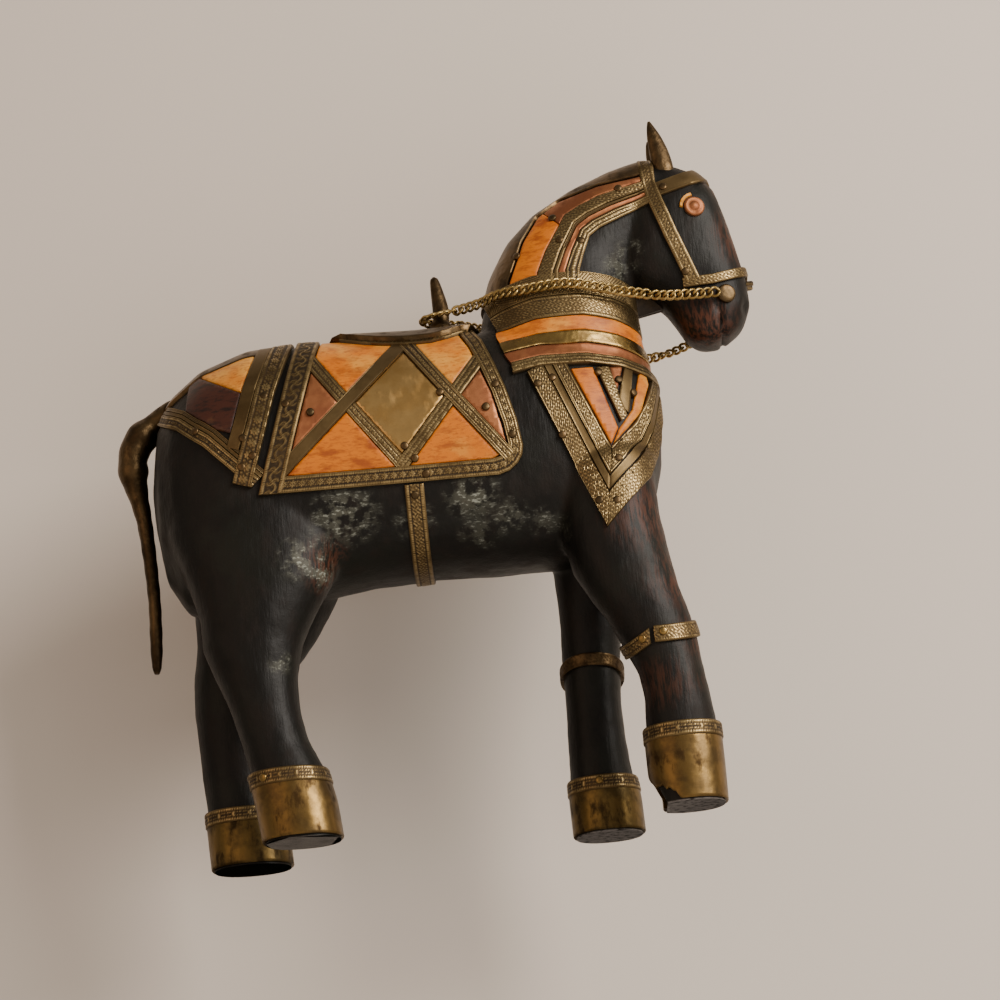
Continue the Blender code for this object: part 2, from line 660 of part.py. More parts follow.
def bridle_outlines(spare=0.0):
    """The cheek strap, browband and noseband in the side view, a little wider where spare is given."""
    lines = ((CHEEK_STRAP, BRIDLE_STRAP), (BROWBAND, BRIDLE_STRAP), (NOSEBAND_LINE, NOSEBAND))
    return [strap(drawn(line), width + 2 * spare) for line, width in lines]


def fit_mane(shop):
    """The brass crest over the neck, and on each side two inlaid panels and a brass border."""
    crest, edge, inner = drawn(CREST_EDGE), drawn(MANE_EDGE), drawn(MANE_INNER_EDGE)
    over = beside(crest, mm(CREST_REACH))
    rooms = [collar_room(shop)]
    cheek_room = bridle_outlines(FIT_GAP)[0]
    rooms.append(shop.prism("cheek_room", cheek_room, HEAD_PLANE, ROOM_BOTH_SIDES))
    shop.sheet("crest_strip", [shop.prism("crest", crest + over[::-1], MANE_PLANE, BOTH_SIDES)], rooms)
    panel = beside(edge, FIT_GAP) + beside(crest, -FIT_GAP)[::-1]
    border = inner + edge[::-1]
    split = drawn(MANE_SPLIT)
    half = FIT_GAP / 2
    panels = {
        "mane_bone": (keep_right(panel, split, half), TILE_THICKNESS, "bone"),
        "mane_copper": (keep_left(panel, split, half), TILE_THICKNESS, "copper"),
        "mane_border": (border, SHEET_THICKNESS, "brass"),
    }
    for side, across in SIDES.items():
        for name, (outline, thickness, kind) in panels.items():
            prism = shop.prism(f"{name}_{side}", outline, MANE_PLANE, across)
            shop.sheet(f"{name}_{side}", [prism], rooms, thickness, kind)


def fit_head(shop):
    """The bridle in one piece, with an eye and a bit boss on each side."""
    straps = zip(("cheek", "brow", "nose"), bridle_outlines())
    prisms = [shop.prism(name, outline, HEAD_PLANE, BOTH_SIDES) for name, outline in straps]
    shop.sheet("headstall", prisms)
    eye, boss = disc(drawn([EYE_CENTRE])[0], EYE_RADIUS), disc(drawn([BIT_CENTRE])[0], BIT_RADIUS)
    for side, across in SIDES.items():
        eye_prism = shop.prism(f"eye_{side}", eye, HEAD_PLANE, across)
        shop.sheet(f"eye_{side}", [eye_prism], (), DISC_THICKNESS, "copper")
        boss_prism = shop.prism(f"bit_boss_{side}", boss, HEAD_PLANE, across)
        shop.sheet(f"bit_boss_{side}", [boss_prism], (), DISC_THICKNESS)


def fit_legs(shop):
    """The girth, the bands round the forelegs and the brass caps of the hooves."""
    girth = strap(drawn(GIRTH_LINE), GIRTH_STRAP)
    cloth_foot = [shop.prism("girth_room", drawn(SADDLE_OUTLINE), SADDLE_PLANE, ROOM_BOTH_SIDES)]
    cloth_foot[0].location.z = -FIT_GAP
    shop.sheet("girth_strap", [shop.prism("girth", girth, SADDLE_PLANE, BOTH_SIDES)], cloth_foot)
    for side, line in (("right", FORELEG_BAND_RIGHT), ("left", FORELEG_BAND_LEFT)):
        outline = strap(drawn(line), LEG_BAND)
        band = shop.prism(f"foreleg_band_{side}", outline, LEG_BAND_PLANE, SIDES[side])
        shop.sheet(f"foreleg_band_{side}", [band])
    for name, (side, span, top) in HOOVES.items():
        start, end = SIDES[side]
        low, high = (mm(span[0]), start, 2 * FIT_GAP), (mm(span[1]), end, mm(top))
        holes = []
        if name == "hoof_cap_front_right":
            holes.append(shop.prism("hoof_chip", drawn(HOOF_CHIP), HOOF_CHIP_PLANE, ROOM_SIDES["right"]))
        shop.sheet(name, [block(f"{name}_block", low, high, shop.cutters)], holes)


def tube(name, path, group, kind, sides=2):
    """A round bar along a line of (x, y, z, radius), as a closed mesh."""
    curve = bpy.data.curves.new(name, "CURVE")
    curve.dimensions = "3D"
    curve.bevel_depth = 1.0
    curve.bevel_resolution = sides
    curve.use_fill_caps = True
    spline = curve.splines.new("POLY")
    spline.points.add(len(path) - 1)
    for point, (x, y, z, radius) in zip(spline.points, path):
        point.co = (x, y, z, 1.0)
        point.radius = radius
    drawn_curve = bpy.data.objects.new(f"{name}_curve", curve)
    group.objects.link(drawn_curve)
    graph = bpy.context.evaluated_depsgraph_get()
    mesh = bmesh.new()
    skin = bpy.data.meshes.new_from_object(drawn_curve.evaluated_get(graph))
    mesh.from_mesh(skin)
    bmesh.ops.remove_doubles(mesh, verts=mesh.verts[:], dist=TOUCHING)
    bmesh.ops.recalc_face_normals(mesh, faces=mesh.faces[:])
    bpy.data.objects.remove(drawn_curve)
    bpy.data.meshes.remove(skin)
    return mesh_object(name, mesh, group, kind)


def stand_off(body, point, distance):
    """The point, moved out from the wood where it is nearer than this distance to it."""
    _, nearest, normal, _ = body.closest_point_on_mesh(point)
    if (Vector(point) - nearest).dot(normal) >= distance:
        return Vector(point)
    return nearest + normal * distance


def add_horns(shop):
    """The tail, the two ears, the saddle horn and the rein chain."""
    wood_room = offset_body(shop.body, SHEET_LIFT, shop.cutters)
    boolean(tube("tail", drawn(TAIL), shop.parts, "dark_brass"), "DIFFERENCE", wood_room)
    strap_room = shop.prism("ear_strap_room", bridle_outlines(FIT_GAP)[0], HEAD_PLANE, ROOM_BOTH_SIDES)
    for side, sign in (("right", 1), ("left", -1)):
        path = [(x, sign * y, z, radius) for x, y, z, radius in drawn(EAR)]
        ear = boolean(tube(f"ear_{side}", path, shop.parts, "dark_brass"), "DIFFERENCE", wood_room)
        boolean(ear, "DIFFERENCE", strap_room)
    seat_room = offset_body(shop.body, 2 * SHEET_LIFT + SEAT_THICKNESS, shop.cutters)
    boolean(tube("saddle_horn", drawn(HORN), shop.parts, "dark_brass"), "DIFFERENCE", seat_room)
    rein_room = SHEET_LIFT + SHEET_THICKNESS + CHAIN_RADIUS + 2 * FIT_GAP
    rein = [(*stand_off(shop.body, point, rein_room), CHAIN_RADIUS) for point in drawn(REIN)]
    tube("rein_chain", rein, shop.parts, "brass", 1)


def shade(parts):
    """Smooth shading, except along sharp edges."""
    for piece in parts.objects:
        piece.data.shade_smooth()
        piece.data.set_sharp_from_angle(angle=SHARP_EDGE)


def place_on_ground(parts):
    """Parents every piece to one empty, with the origin under the middle of the whole figure."""
    bpy.context.view_layer.update()
    corners = [piece.matrix_world @ Vector(corner) for piece in parts.objects for corner in piece.bound_box]
    lows = [min(corner[axis] for corner in corners) for axis in range(3)]
    highs = [max(corner[axis] for corner in corners) for axis in range(3)]
    pieces = list(parts.objects)
    stand = bpy.data.objects.new("wooden_horse_origin", None)
    parts.objects.link(stand)
    stand.location = (-(lows[0] + highs[0]) / 2, -(lows[1] + highs[1]) / 2, -lows[2])
    for piece in pieces:
        piece.parent = stand


def main():
    clear_scene()
    parts, cutters = collection("wooden_horse"), collection("cutters")
    body = carve_body(parts)
    shop = Workshop(body, parts, cutters)
    fit_saddle(shop)
    fit_croup(shop)
    fit_collar(shop)
    fit_chest(shop)
    fit_mane(shop)
    fit_head(shop)
    fit_legs(shop)
    add_horns(shop)
    cut_soles(body)
    shade(parts)
    place_on_ground(parts)


main()
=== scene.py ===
"""The carved wooden horse in its finishes: stained wood, brass, copper and stained bone."""

import logging
import math
from collections.abc import Callable, Sequence
from dataclasses import dataclass, field
from enum import Enum

import bmesh
import bpy
import numpy as np
from mathutils import Matrix, Vector, noise
from mathutils.bvhtree import BVHTree


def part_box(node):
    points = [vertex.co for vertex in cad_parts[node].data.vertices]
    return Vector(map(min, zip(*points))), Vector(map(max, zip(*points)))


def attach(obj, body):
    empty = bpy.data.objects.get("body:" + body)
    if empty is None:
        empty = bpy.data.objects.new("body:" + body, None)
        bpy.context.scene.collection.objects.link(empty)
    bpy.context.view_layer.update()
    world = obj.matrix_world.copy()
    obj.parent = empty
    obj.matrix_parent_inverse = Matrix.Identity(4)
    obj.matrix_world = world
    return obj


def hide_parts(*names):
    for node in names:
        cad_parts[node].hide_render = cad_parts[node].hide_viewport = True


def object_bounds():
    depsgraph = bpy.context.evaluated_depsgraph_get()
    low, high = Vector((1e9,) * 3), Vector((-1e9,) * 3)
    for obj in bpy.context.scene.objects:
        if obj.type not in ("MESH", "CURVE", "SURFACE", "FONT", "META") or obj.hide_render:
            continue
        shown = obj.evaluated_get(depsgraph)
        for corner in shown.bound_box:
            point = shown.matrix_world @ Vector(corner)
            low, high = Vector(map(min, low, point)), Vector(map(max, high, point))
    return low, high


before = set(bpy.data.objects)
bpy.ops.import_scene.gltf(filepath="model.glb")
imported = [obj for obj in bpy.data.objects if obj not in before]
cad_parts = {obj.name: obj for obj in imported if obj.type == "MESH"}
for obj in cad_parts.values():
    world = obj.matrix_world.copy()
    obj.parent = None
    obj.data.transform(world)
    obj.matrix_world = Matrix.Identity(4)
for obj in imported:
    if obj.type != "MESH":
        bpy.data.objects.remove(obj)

LOG = logging.getLogger("wooden_horse")
CAD_LOW, CAD_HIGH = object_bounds()

# The horse is drawn in millimetres, 277.1 of them from the soles to the ear tips, and measured off the frame.
DRAWN_HEIGHT = 277.1
GIRTH_MIDDLE = 8.6
SCALE = (CAD_HIGH.z - CAD_LOW.z) / DRAWN_HEIGHT
GIRTH_LOW, GIRTH_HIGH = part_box("girth_strap")
SHIFT = Vector((
    (GIRTH_LOW.x + GIRTH_HIGH.x) / 2 - GIRTH_MIDDLE * SCALE,
    (GIRTH_LOW.y + GIRTH_HIGH.y) / 2,
    CAD_LOW.z,
))

# Outlines drawn in the side view are carried across the horse on this slant, rising towards its middle.
LEAN = math.tan(math.radians(17.0))
FAR_OUT = 70.0

# How finely the sheets are laid out, in millimetres: rays first, then the pressed surface between them.
RAY_STEP = 1.3
PRESS_STEP = 0.43
PLAIN_STEP = 0.9
TILE_STEP = 1.5

# How deep the sheets' sides reach into the wood, and what keeps a sharp corner from shrinking too far.
ROOT = 0.3
SHARPEST = 0.35

Point = tuple[float, float]
Line = Sequence[Point]
Socket = bpy.types.NodeSocket


def linear(code: str) -> tuple[float, float, float, float]:
    """Turns an sRGB hex colour into linear light.

    Args:
        code: The colour as six hex digits after a hash sign.

    Returns:
        Red, green, blue and an alpha of one.
    """
    parts = [int(code[start:start + 2], 16) / 255 for start in (1, 3, 5)]
    return (*(part / 12.92 if part <= 0.04045 else ((part + 0.055) / 1.055) ** 2.4 for part in parts), 1.0)


# The settings of the nodes that every finish uses: a smooth threshold, three sums, and a mix of two colours.
SMOOTH = {"interpolation_type": "SMOOTHSTEP"}
TIMES = {"operation": "MULTIPLY", "use_clamp": True}
PLUS = {"operation": "ADD", "use_clamp": True}
MINUS = {"operation": "SUBTRACT", "use_clamp": True}
BLEND = {"out": 2, "data_type": "RGBA"}


@dataclass
class Palette:
    """One material's node tree while its finish is laid."""

    tree: bpy.types.NodeTree

    def __post_init__(self) -> None:
        """Reads the place on the piece once, for every pattern."""
        self.place = self.add("TexCoord", {}, "Object")

    def add(
        self, kind: str, inputs: dict[str | int, object], out: int | str = 0, **settings: object
    ) -> Socket:
        """Adds one shader node with its settings, values and links.

        Args:
            kind: The node's type, without the ShaderNode in front.
            inputs: What goes into it, as for feed.
            out: Which of its outputs is wanted.
            **settings: The node's own properties.

        Returns:
            The wanted output.
        """
        node = self.tree.nodes.new(f"ShaderNode{kind}")
        for name, value in settings.items():
            setattr(node, name, value)
        self.feed(node, inputs)
        return node.outputs[out]

    def feed(self, node: bpy.types.Node, inputs: dict[str | int, object]) -> None:
        """Sets or links some of a node's inputs.

        Args:
            node: The node.
            inputs: For each input, by name or number, its value, a hex colour, or the socket that feeds it.
        """
        for name, value in inputs.items():
            if isinstance(value, Socket):
                self.tree.links.new(value, node.inputs[name])
            else:
                node.inputs[name].default_value = linear(value) if isinstance(value, str) else value

    def patches(self, size: float, detail: float = 3.0, stretch: Sequence[float] = (1, 1, 1)) -> Socket:
        """Cloudy patches of a real size, which every pattern starts from.

        Args:
            size: Their size in millimetres.
            detail: How many finer layers they have.
            stretch: How much finer they run along each axis.

        Returns:
            Values between 0 and 1, mostly near the middle.
        """
        spread = self.add("Mapping", {"Vector": self.place, "Scale": stretch})
        inputs = {"Vector": spread, "Scale": 1 / (size * SCALE), "Detail": detail, "Roughness": 0.6}
        return self.add("TexNoise", inputs)


@dataclass(frozen=True)
class Finish:
    """A finish as it is made on one material; each kind says how its colour, gloss and relief are laid."""

    name: str
    slot: str

    def material(self) -> bpy.types.Material:
        """Makes the finish's material, or finds it where it is made already.

        Returns:
            The material.
        """
        if self.name in bpy.data.materials:
            return bpy.data.materials[self.name]
        made = bpy.data.materials.new(self.name)
        made.use_nodes = True
        self.lay(Palette(made.node_tree), made.node_tree.nodes["Principled BSDF"])
        return made

    def lay(self, palette: Palette, shader: bpy.types.Node) -> None:
        """Feeds the shader; each finish has its own way."""
        raise NotImplementedError


@dataclass(frozen=True)
class StainedWood(Finish):
    """Hardwood carved with chisels, stained near black and waxed.

    The eye sees a satin near-black, red-brown where handling has rubbed the stain off, and pale dry scuffs.
    """

    name: str = "stained_hardwood_waxed"
    slot: str = "wood"
    stain: str = "#080705"
    green_stain: str = "#0f100b"
    brown: str = "#170f09"
    bare: str = "#4a2a1c"
    haze: str = "#545448"
    scuff: str = "#92958a"
    # Painted light: the pale grey that the soles are painted with, as if lit from below.
    lit_sole_colour: str = "#b3aaa4"
    grain_mm: float = 1.1
    patch_mm: float = 26.0
    scratch_mm: float = 0.9

    def lay(self, palette: Palette, shader: bpy.types.Node) -> None:
        """Lays the stain, and then what shows where it is thin, rubbed or scuffed, and the pale painted light
        on the soles.

        Args:
            palette: The material's node tree.
            shader: Its surface shader.
        """
        add, patches = palette.add, palette.patches
        damp = add("MapRange", {0: patches(self.patch_mm, 4.0), 1: 0.42, 2: 0.62}, **SMOOTH)
        colour = add("Mix", {0: damp, 6: self.stain, 7: self.green_stain}, **BLEND)
        thin = add("MapRange", {0: patches(9.0, 4.0, (1, 1, 0.5)), 1: 0.45, 2: 0.75}, **SMOOTH)
        colour = add("Mix", {0: add("Math", {0: thin, 1: 0.75}, **TIMES), 6: colour, 7: self.brown}, **BLEND)
        grain = patches(self.grain_mm, 3.0, (1.0, 1.0, 0.13))
        streaks = add("MapRange", {0: grain, 1: 0.40, 2: 0.60}, **SMOOTH)
        wear = add("Attribute", {}, "Fac", attribute_name="wear")
        rubbed = add("Math", {0: wear, 1: streaks}, **TIMES)
        colour = add("Mix", {0: rubbed, 6: colour, 7: self.bare}, **BLEND)
        broken = add("MapRange", {0: patches(5.0, 5.0), 1: 0.42, 2: 0.58}, **SMOOTH)
        scuff = add("Attribute", {}, "Fac", attribute_name="scuff")
        dry = add("Math", {0: scuff, 1: broken}, **TIMES)
        colour = add("Mix", {0: add("Math", {0: dry, 1: 0.75}, **TIMES), 6: colour, 7: self.haze}, **BLEND)
        scratches = patches(self.scratch_mm, 4.0, (0.45, 1.0, 1.1))
        scratches = add("MapRange", {0: scratches, 1: 0.52, 2: 0.66}, **SMOOTH)
        scuffed = add("Math", {0: dry, 1: scratches}, **TIMES)
        colour = add("Mix", {0: scuffed, 6: colour, 7: self.scuff}, **BLEND)
        # Painted light: at the soles' spots a mottled pale grey is painted over the stain, standing in for
        # light from below.
        sole_light_mottle = add("MapRange", {0: patches(2.5, 4.0), 1: 0.30, 2: 0.55}, **SMOOTH)
        sole_light_spots = add("Attribute", {}, "Fac", attribute_name="raw")
        raw = add("Math", {0: sole_light_spots, 1: sole_light_mottle}, **TIMES)
        colour = add("Mix", {0: raw, 6: colour, 7: self.lit_sole_colour}, **BLEND)
        dull = add("Math", {0: add("Math", {0: thin, 1: 0.14}, **TIMES), 1: 0.46}, **PLUS)
        dull = add("Math", {0: dull, 1: add("Math", {0: scuffed, 1: 0.3}, **TIMES)}, **PLUS)
        uneven = add("Math", {0: add("Math", {0: grain, 1: 0.7}, **TIMES), 1: patches(4.0, 3.0)}, **PLUS)
        relief = add("Bump", {"Height": uneven, "Distance": 0.30 * SCALE, "Strength": 0.6})
        palette.feed(shader, {
            "Base Color": colour, "Roughness": dull, "Specular IOR Level": 0.22, "Normal": relief,
        })


@dataclass(frozen=True)
class PressedBrass(Finish):
    """Thin brass strip pressed with flowers over a die, then antiqued and rubbed.

    The eye sees dark brown hollows, olive ground and pale gold on the tops of the pattern.
    """

    name: str = "brass_strip_pressed_antiqued"
    slot: str = "brass_embossed"
    hollow: str = "#20170d"
    ground: str = "#67563a"
    top: str = "#a99468"
    brown: str = "#4a3b26"
    patch_mm: float = 13.0

    def lay(self, palette: Palette, shader: bpy.types.Node) -> None:
        """Colours the strip by how high it is pressed, as rubbing does.

        Args:
            palette: The material's node tree.
            shader: Its surface shader.
        """
        add, patches = palette.add, palette.patches
        fine = patches(0.9, 2.0)
        rough = add("Math", {0: add("Math", {0: fine, 1: 0.5}, **MINUS), 1: 0.5}, **TIMES)
        pressed = add("Attribute", {}, "Fac", attribute_name="relief")
        raised = add("Math", {0: pressed, 1: rough}, **PLUS)
        low = add("MapRange", {0: raised, 1: 0.06, 2: 0.42}, **SMOOTH)
        colour = add("Mix", {0: low, 6: self.hollow, 7: self.ground}, **BLEND)
        high = add("MapRange", {0: raised, 1: 0.50, 2: 0.95}, **SMOOTH)
        colour = add("Mix", {0: high, 6: colour, 7: self.top}, **BLEND)
        aged = add("MapRange", {0: patches(self.patch_mm, 4.0), 1: 0.44, 2: 0.68}, **SMOOTH)
        colour = add("Mix", {0: add("Math", {0: aged, 1: 0.6}, **TIMES), 6: colour, 7: self.brown}, **BLEND)
        palette.feed(shader, {
            "Base Color": colour,
            "Metallic": add("MapRange", {"Value": raised, "From Max": 0.4, "To Min": 0.55}),
            "Roughness": add("MapRange", {"Value": raised, "To Min": 0.62, "To Max": 0.30}),
            "Normal": add("Bump", {"Height": fine, "Distance": 0.06 * SCALE, "Strength": 0.6}),
        })


@dataclass(frozen=True)
class PlainBrass(Finish):
    """Rolled brass sheet, beaten round the wood by hand and rubbed bright, with brown patina left in places.

    The eye sees soft dented reflections of gold, fine rubbing marks and tea-brown clouds.
    """

    name: str = "brass_sheet_rubbed"
    slot: str = "brass_plain"
    bright: str = "#a08650"
    dull: str = "#80693f"
    patina: str = "#4a3623"
    patina_share: float = 0.6
    dent_mm: float = 7.0
    gloss: float = 0.26

    def lay(self, palette: Palette, shader: bpy.types.Node) -> None:
        """Lays the metal's two tones, the patina on them, and the dents and rubbing marks.

        Args:
            palette: The material's node tree.
            shader: Its surface shader.
        """
        add, patches = palette.add, palette.patches
        clouds = patches(11.0, 4.0)
        tones = add("MapRange", {0: clouds, 1: 0.40, 2: 0.62}, **SMOOTH)
        colour = add("Mix", {0: tones, 6: self.bright, 7: self.dull}, **BLEND)
        spots = add("MapRange", {0: patches(5.5, 5.0, (1.0, 1.0, 0.45)), 1: 0.52, 2: 0.68}, **SMOOTH)
        browned = add("Math", {0: spots, 1: self.patina_share}, **TIMES)
        colour = add("Mix", {0: browned, 6: colour, 7: self.patina}, **BLEND)
        gloss = add("Math", {0: add("Math", {0: clouds, 1: 0.28}, **TIMES), 1: self.gloss - 0.12}, **PLUS)
        gloss = add("Math", {0: gloss, 1: add("Math", {0: spots, 1: 0.2}, **TIMES)}, **PLUS)
        rubbing = add("Math", {0: patches(0.7, 2.0, (0.25, 1.0, 1.6)), 1: 0.05}, **TIMES)
        dents = add("Math", {0: patches(self.dent_mm, 2.0), 1: rubbing}, **PLUS)
        relief = add("Bump", {"Height": dents, "Distance": 0.7 * SCALE, "Strength": 0.55})
        palette.feed(shader, {"Base Color": colour, "Metallic": 1.0, "Roughness": gloss, "Normal": relief})


@dataclass(frozen=True)
class PolishedBrass(PlainBrass):
    """Flat brass sheet that still has most of its polish.

    The eye sees a pale, calm gold with soft cloudy reflections and hardly any brown.
    """

    name: str = "brass_sheet_polished"
    bright: str = "#c7a469"
    dull: str = "#b08d55"
    patina: str = "#7d6038"
    patina_share: float = 0.35
    dent_mm: float = 12.0
    gloss: float = 0.30


@dataclass(frozen=True)
class CapBrass(PlainBrass):
    """Brass sheet beaten round a hoof, scuffed on the ground and stained by damp.

    The eye sees dull gold broken by large tea-brown and olive stains.
    """

    name: str = "brass_cap_stained"
    bright: str = "#786139"
    dull: str = "#5a492e"
    patina: str = "#352719"
    patina_share: float = 0.85
    dent_mm: float = 9.0
    gloss: float = 0.34


@dataclass(frozen=True)
class DarkCapBrass(PlainBrass):
    """Brass sheet beaten round a hoof and left unrubbed, so that it has gone dark.

    The eye sees a satin olive-brown with a few duller gold streaks.
    """

    name: str = "brass_cap_darkened"
    bright: str = "#6f5b35"
    dull: str = "#4f4229"
    patina: str = "#2b2217"
    patina_share: float = 0.85
    dent_mm: float = 8.0
    gloss: float = 0.38


@dataclass(frozen=True)
class CopperSheet(PlainBrass):
    """Rolled copper sheet, dulled to a salmon brown by handling.

    The eye sees a warm satin pink-brown with darker clouds and fine rubbing marks.
    """

    name: str = "copper_sheet_dulled"
    slot: str = "copper"
    bright: str = "#a8704c"
    dull: str = "#8e5a3e"
    patina: str = "#5e3c2b"
    patina_share: float = 0.45
    dent_mm: float = 9.0
    gloss: float = 0.48


@dataclass(frozen=True)
class AgedBrass(PlainBrass):
    """Rolled brass sheet that has been handled less and has gone grey-brown.

    The eye sees a satin olive-grey with a few golden patches where it is touched.
    """

    name: str = "brass_sheet_aged"
    slot: str = "brass_embossed"
    bright: str = "#635037"
    dull: str = "#4d402d"
    patina: str = "#35291d"
    dent_mm: float = 5.0
    gloss: float = 0.38


@dataclass(frozen=True)
class PatinatedBrass(PlainBrass):
    """Cast brass left to darken, with a satin olive-brown oxide.

    The eye sees a dark, uneven brown with a duller shine than the sheets.
    """

    name: str = "cast_brass_patinated"
    slot: str = "brass_worn"
    bright: str = "#5b4a33"
    dull: str = "#3d3122"
    patina: str = "#241a12"
    patina_share: float = 0.7
    dent_mm: float = 3.0
    gloss: float = 0.42


@dataclass(frozen=True)
class StainedBone(Finish):
    """Bone plates sawn thin, dyed orange and polished.

    The eye sees cream bone flooded with uneven orange, flame-like red-brown streaks and fine saw lines.
    """

    name: str = "bone_sawn_dyed_orange"
    slot: str = "bone"
    pale: str = "#d6973d"
    dye: str = "#c46b0b"
    deep: str = "#8a400e"
    saw_mm: float = 1.0
    flame_mm: float = 6.5

    def lay(self, palette: Palette, shader: bpy.types.Node) -> None:
        """Floods the bone with dye by each plate's own tone, and draws the flames and saw lines on it.

        Args:
            palette: The material's node tree.
            shader: Its surface shader.
        """
        add, patches = palette.add, palette.patches
        tone = add("Attribute", {}, "Fac", attribute_name="tone")
        clouds = patches(13.0, 4.0)
        wash = add("Math", {0: add("Math", {0: clouds, 1: 0.35}, **MINUS), 1: 1.6}, **TIMES)
        wash = add("Math", {0: wash, 1: tone}, **PLUS)
        dyed = add("MapRange", {0: wash, 1: 0.25, 2: 0.85}, **SMOOTH)
        colour = add("Mix", {0: dyed, 6: self.pale, 7: self.dye}, **BLEND)
        flames = patches(self.flame_mm, 6.0, (0.55, 1.0, 1.6))
        flames = add("MapRange", {0: flames, 1: 0.48, 2: 0.66}, **SMOOTH)
        flames = add("Math", {0: flames, 1: add("Math", {0: tone, 1: 0.15}, **PLUS)}, **TIMES)
        colour = add("Mix", {0: flames, 6: colour, 7: self.deep}, **BLEND)
        saw = patches(self.saw_mm, 3.0, (0.40, 0.4, 1.2))
        lines = add("MapRange", {0: saw, 1: 0.52, 2: 0.64}, **SMOOTH)
        colour = add("Mix", {0: add("Math", {0: lines, 1: 0.45}, **TIMES), 6: colour, 7: self.deep}, **BLEND)
        dull = add("Math", {0: add("Math", {0: clouds, 1: 0.2}, **TIMES), 1: 0.34}, **PLUS)
        relief = add("Bump", {"Height": saw, "Distance": 0.10 * SCALE, "Strength": 0.5})
        palette.feed(shader, {
            "Base Color": colour, "Roughness": dull, "Specular IOR Level": 0.35, "Normal": relief,
        })


@dataclass(frozen=True)
class DarkBone(StainedBone):
    """A bone plate dyed dark red-brown and mottled.

    The eye sees near-black and wine-brown clouds with one small pale patch.
    """

    name: str = "bone_sawn_dyed_brown"
    slot: str = "bone_dark"
    pale: str = "#7d5a38"
    dye: str = "#3b1c12"
    deep: str = "#140b08"
    flame_mm: float = 4.5


@dataclass(frozen=True)
class ChainBrass(PlainBrass):
    """Drawn brass wire, bent and soldered into curb links, aged pale.

    The eye sees small bright glints on a pale straw metal that is brown between the links.
    """

    name: str = "brass_wire_aged"
    slot: str = "chain"
    bright: str = "#b8a06a"
    dull: str = "#927c4c"
    patina: str = "#554322"
    patina_share: float = 0.4
    dent_mm: float = 1.5
    gloss: float = 0.32


@dataclass(frozen=True)
class StudioPaper(Finish):
    """Matt seamless paper that is seen from its front only, so that it never hides the figure from behind."""

    name: str = "seamless_paper"
    slot: str = ""
    colour: str = "#d5cbc0"

    def lay(self, palette: Palette, shader: bpy.types.Node) -> None:
        """Colours the sheet's front and leaves its back clear.

        Args:
            palette: The material's node tree.
            shader: Its surface shader.
        """
        palette.feed(shader, {"Base Color": self.colour, "Roughness": 0.9})
        clear = palette.add("BsdfTransparent", {})
        behind = palette.add("NewGeometry", {}, "Backfacing")
        blend = palette.add("MixShader", {0: behind, 1: shader.outputs[0], 2: clear})
        palette.feed(palette.tree.nodes["Material Output"], {"Surface": blend})


WOOD, PRESSED, PLAIN, COPPER = StainedWood(), PressedBrass(), PlainBrass(), CopperSheet()
PATINATED, BONE, DARK_BONE, CHAIN = PatinatedBrass(), StainedBone(), DarkBone(), ChainBrass()
AGED, POLISHED, CAP, DARK_CAP = AgedBrass(), PolishedBrass(), CapBrass(), DarkCapBrass()


@dataclass
class Skin:
    """One piece's mesh while it is put together, in drawn millimetres."""

    points: list[np.ndarray] = field(default_factory=list)
    faces: list[tuple[int, ...]] = field(default_factory=list)
    values: dict[str, list[np.ndarray]] = field(default_factory=dict)

    def add(self, points: np.ndarray, faces: Sequence[Sequence[int]], **values: np.ndarray | float) -> None:
        """Adds one closed shell.

        Args:
            points: The shell's points, one row each.
            faces: Its faces, as the rows of their corners.
            **values: A value for each point, or one for all, to be kept on the mesh by that name.
        """
        start = sum(len(part) for part in self.points)
        for name in {*values, *self.values}:
            kept = self.values.setdefault(name, [np.zeros(len(part)) for part in self.points])
            kept.append(np.broadcast_to(np.asarray(values.get(name, 0.0), float), (len(points),)))
        self.points.append(np.asarray(points, float))
        self.faces.extend(tuple(int(corner) + start for corner in face) for face in faces)

    def build(self, name: str, finish: Finish, *nodes: str, sharp: float = 50.0) -> bpy.types.Object:
        """Turns the shells into one piece that rides on the horse.

        Args:
            name: The piece's name.
            finish: What it is made of.
            *nodes: The frame's nodes that it stands for.
            sharp: The angle in degrees from which an edge stays crisp.

        Returns:
            The piece, in metres.
        """
        mesh = bpy.data.meshes.new(name)
        placed = np.concatenate(self.points) * SCALE + np.array(SHIFT)
        mesh.from_pydata(placed.tolist(), [], self.faces)
        for key, parts in self.values.items():
            values = np.concatenate(parts).astype(np.float32)
            mesh.attributes.new(key, "FLOAT", "POINT").data.foreach_set("value", values)
        mesh.validate()
        shell = bmesh.new()
        shell.from_mesh(mesh)
        bmesh.ops.recalc_face_normals(shell, faces=shell.faces[:])
        shell.to_mesh(mesh)
        shell.free()
        mesh.shade_smooth()
        mesh.set_sharp_from_angle(angle=math.radians(sharp))
        mesh.materials.append(finish.material())
        piece = bpy.data.objects.new(name, mesh)
        bpy.context.scene.collection.objects.link(piece)
        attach(piece, "root")
        if nodes:
            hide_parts(*nodes)
        LOG.info("%s: %d faces of %s", name, len(mesh.polygons), finish.name)
        return piece


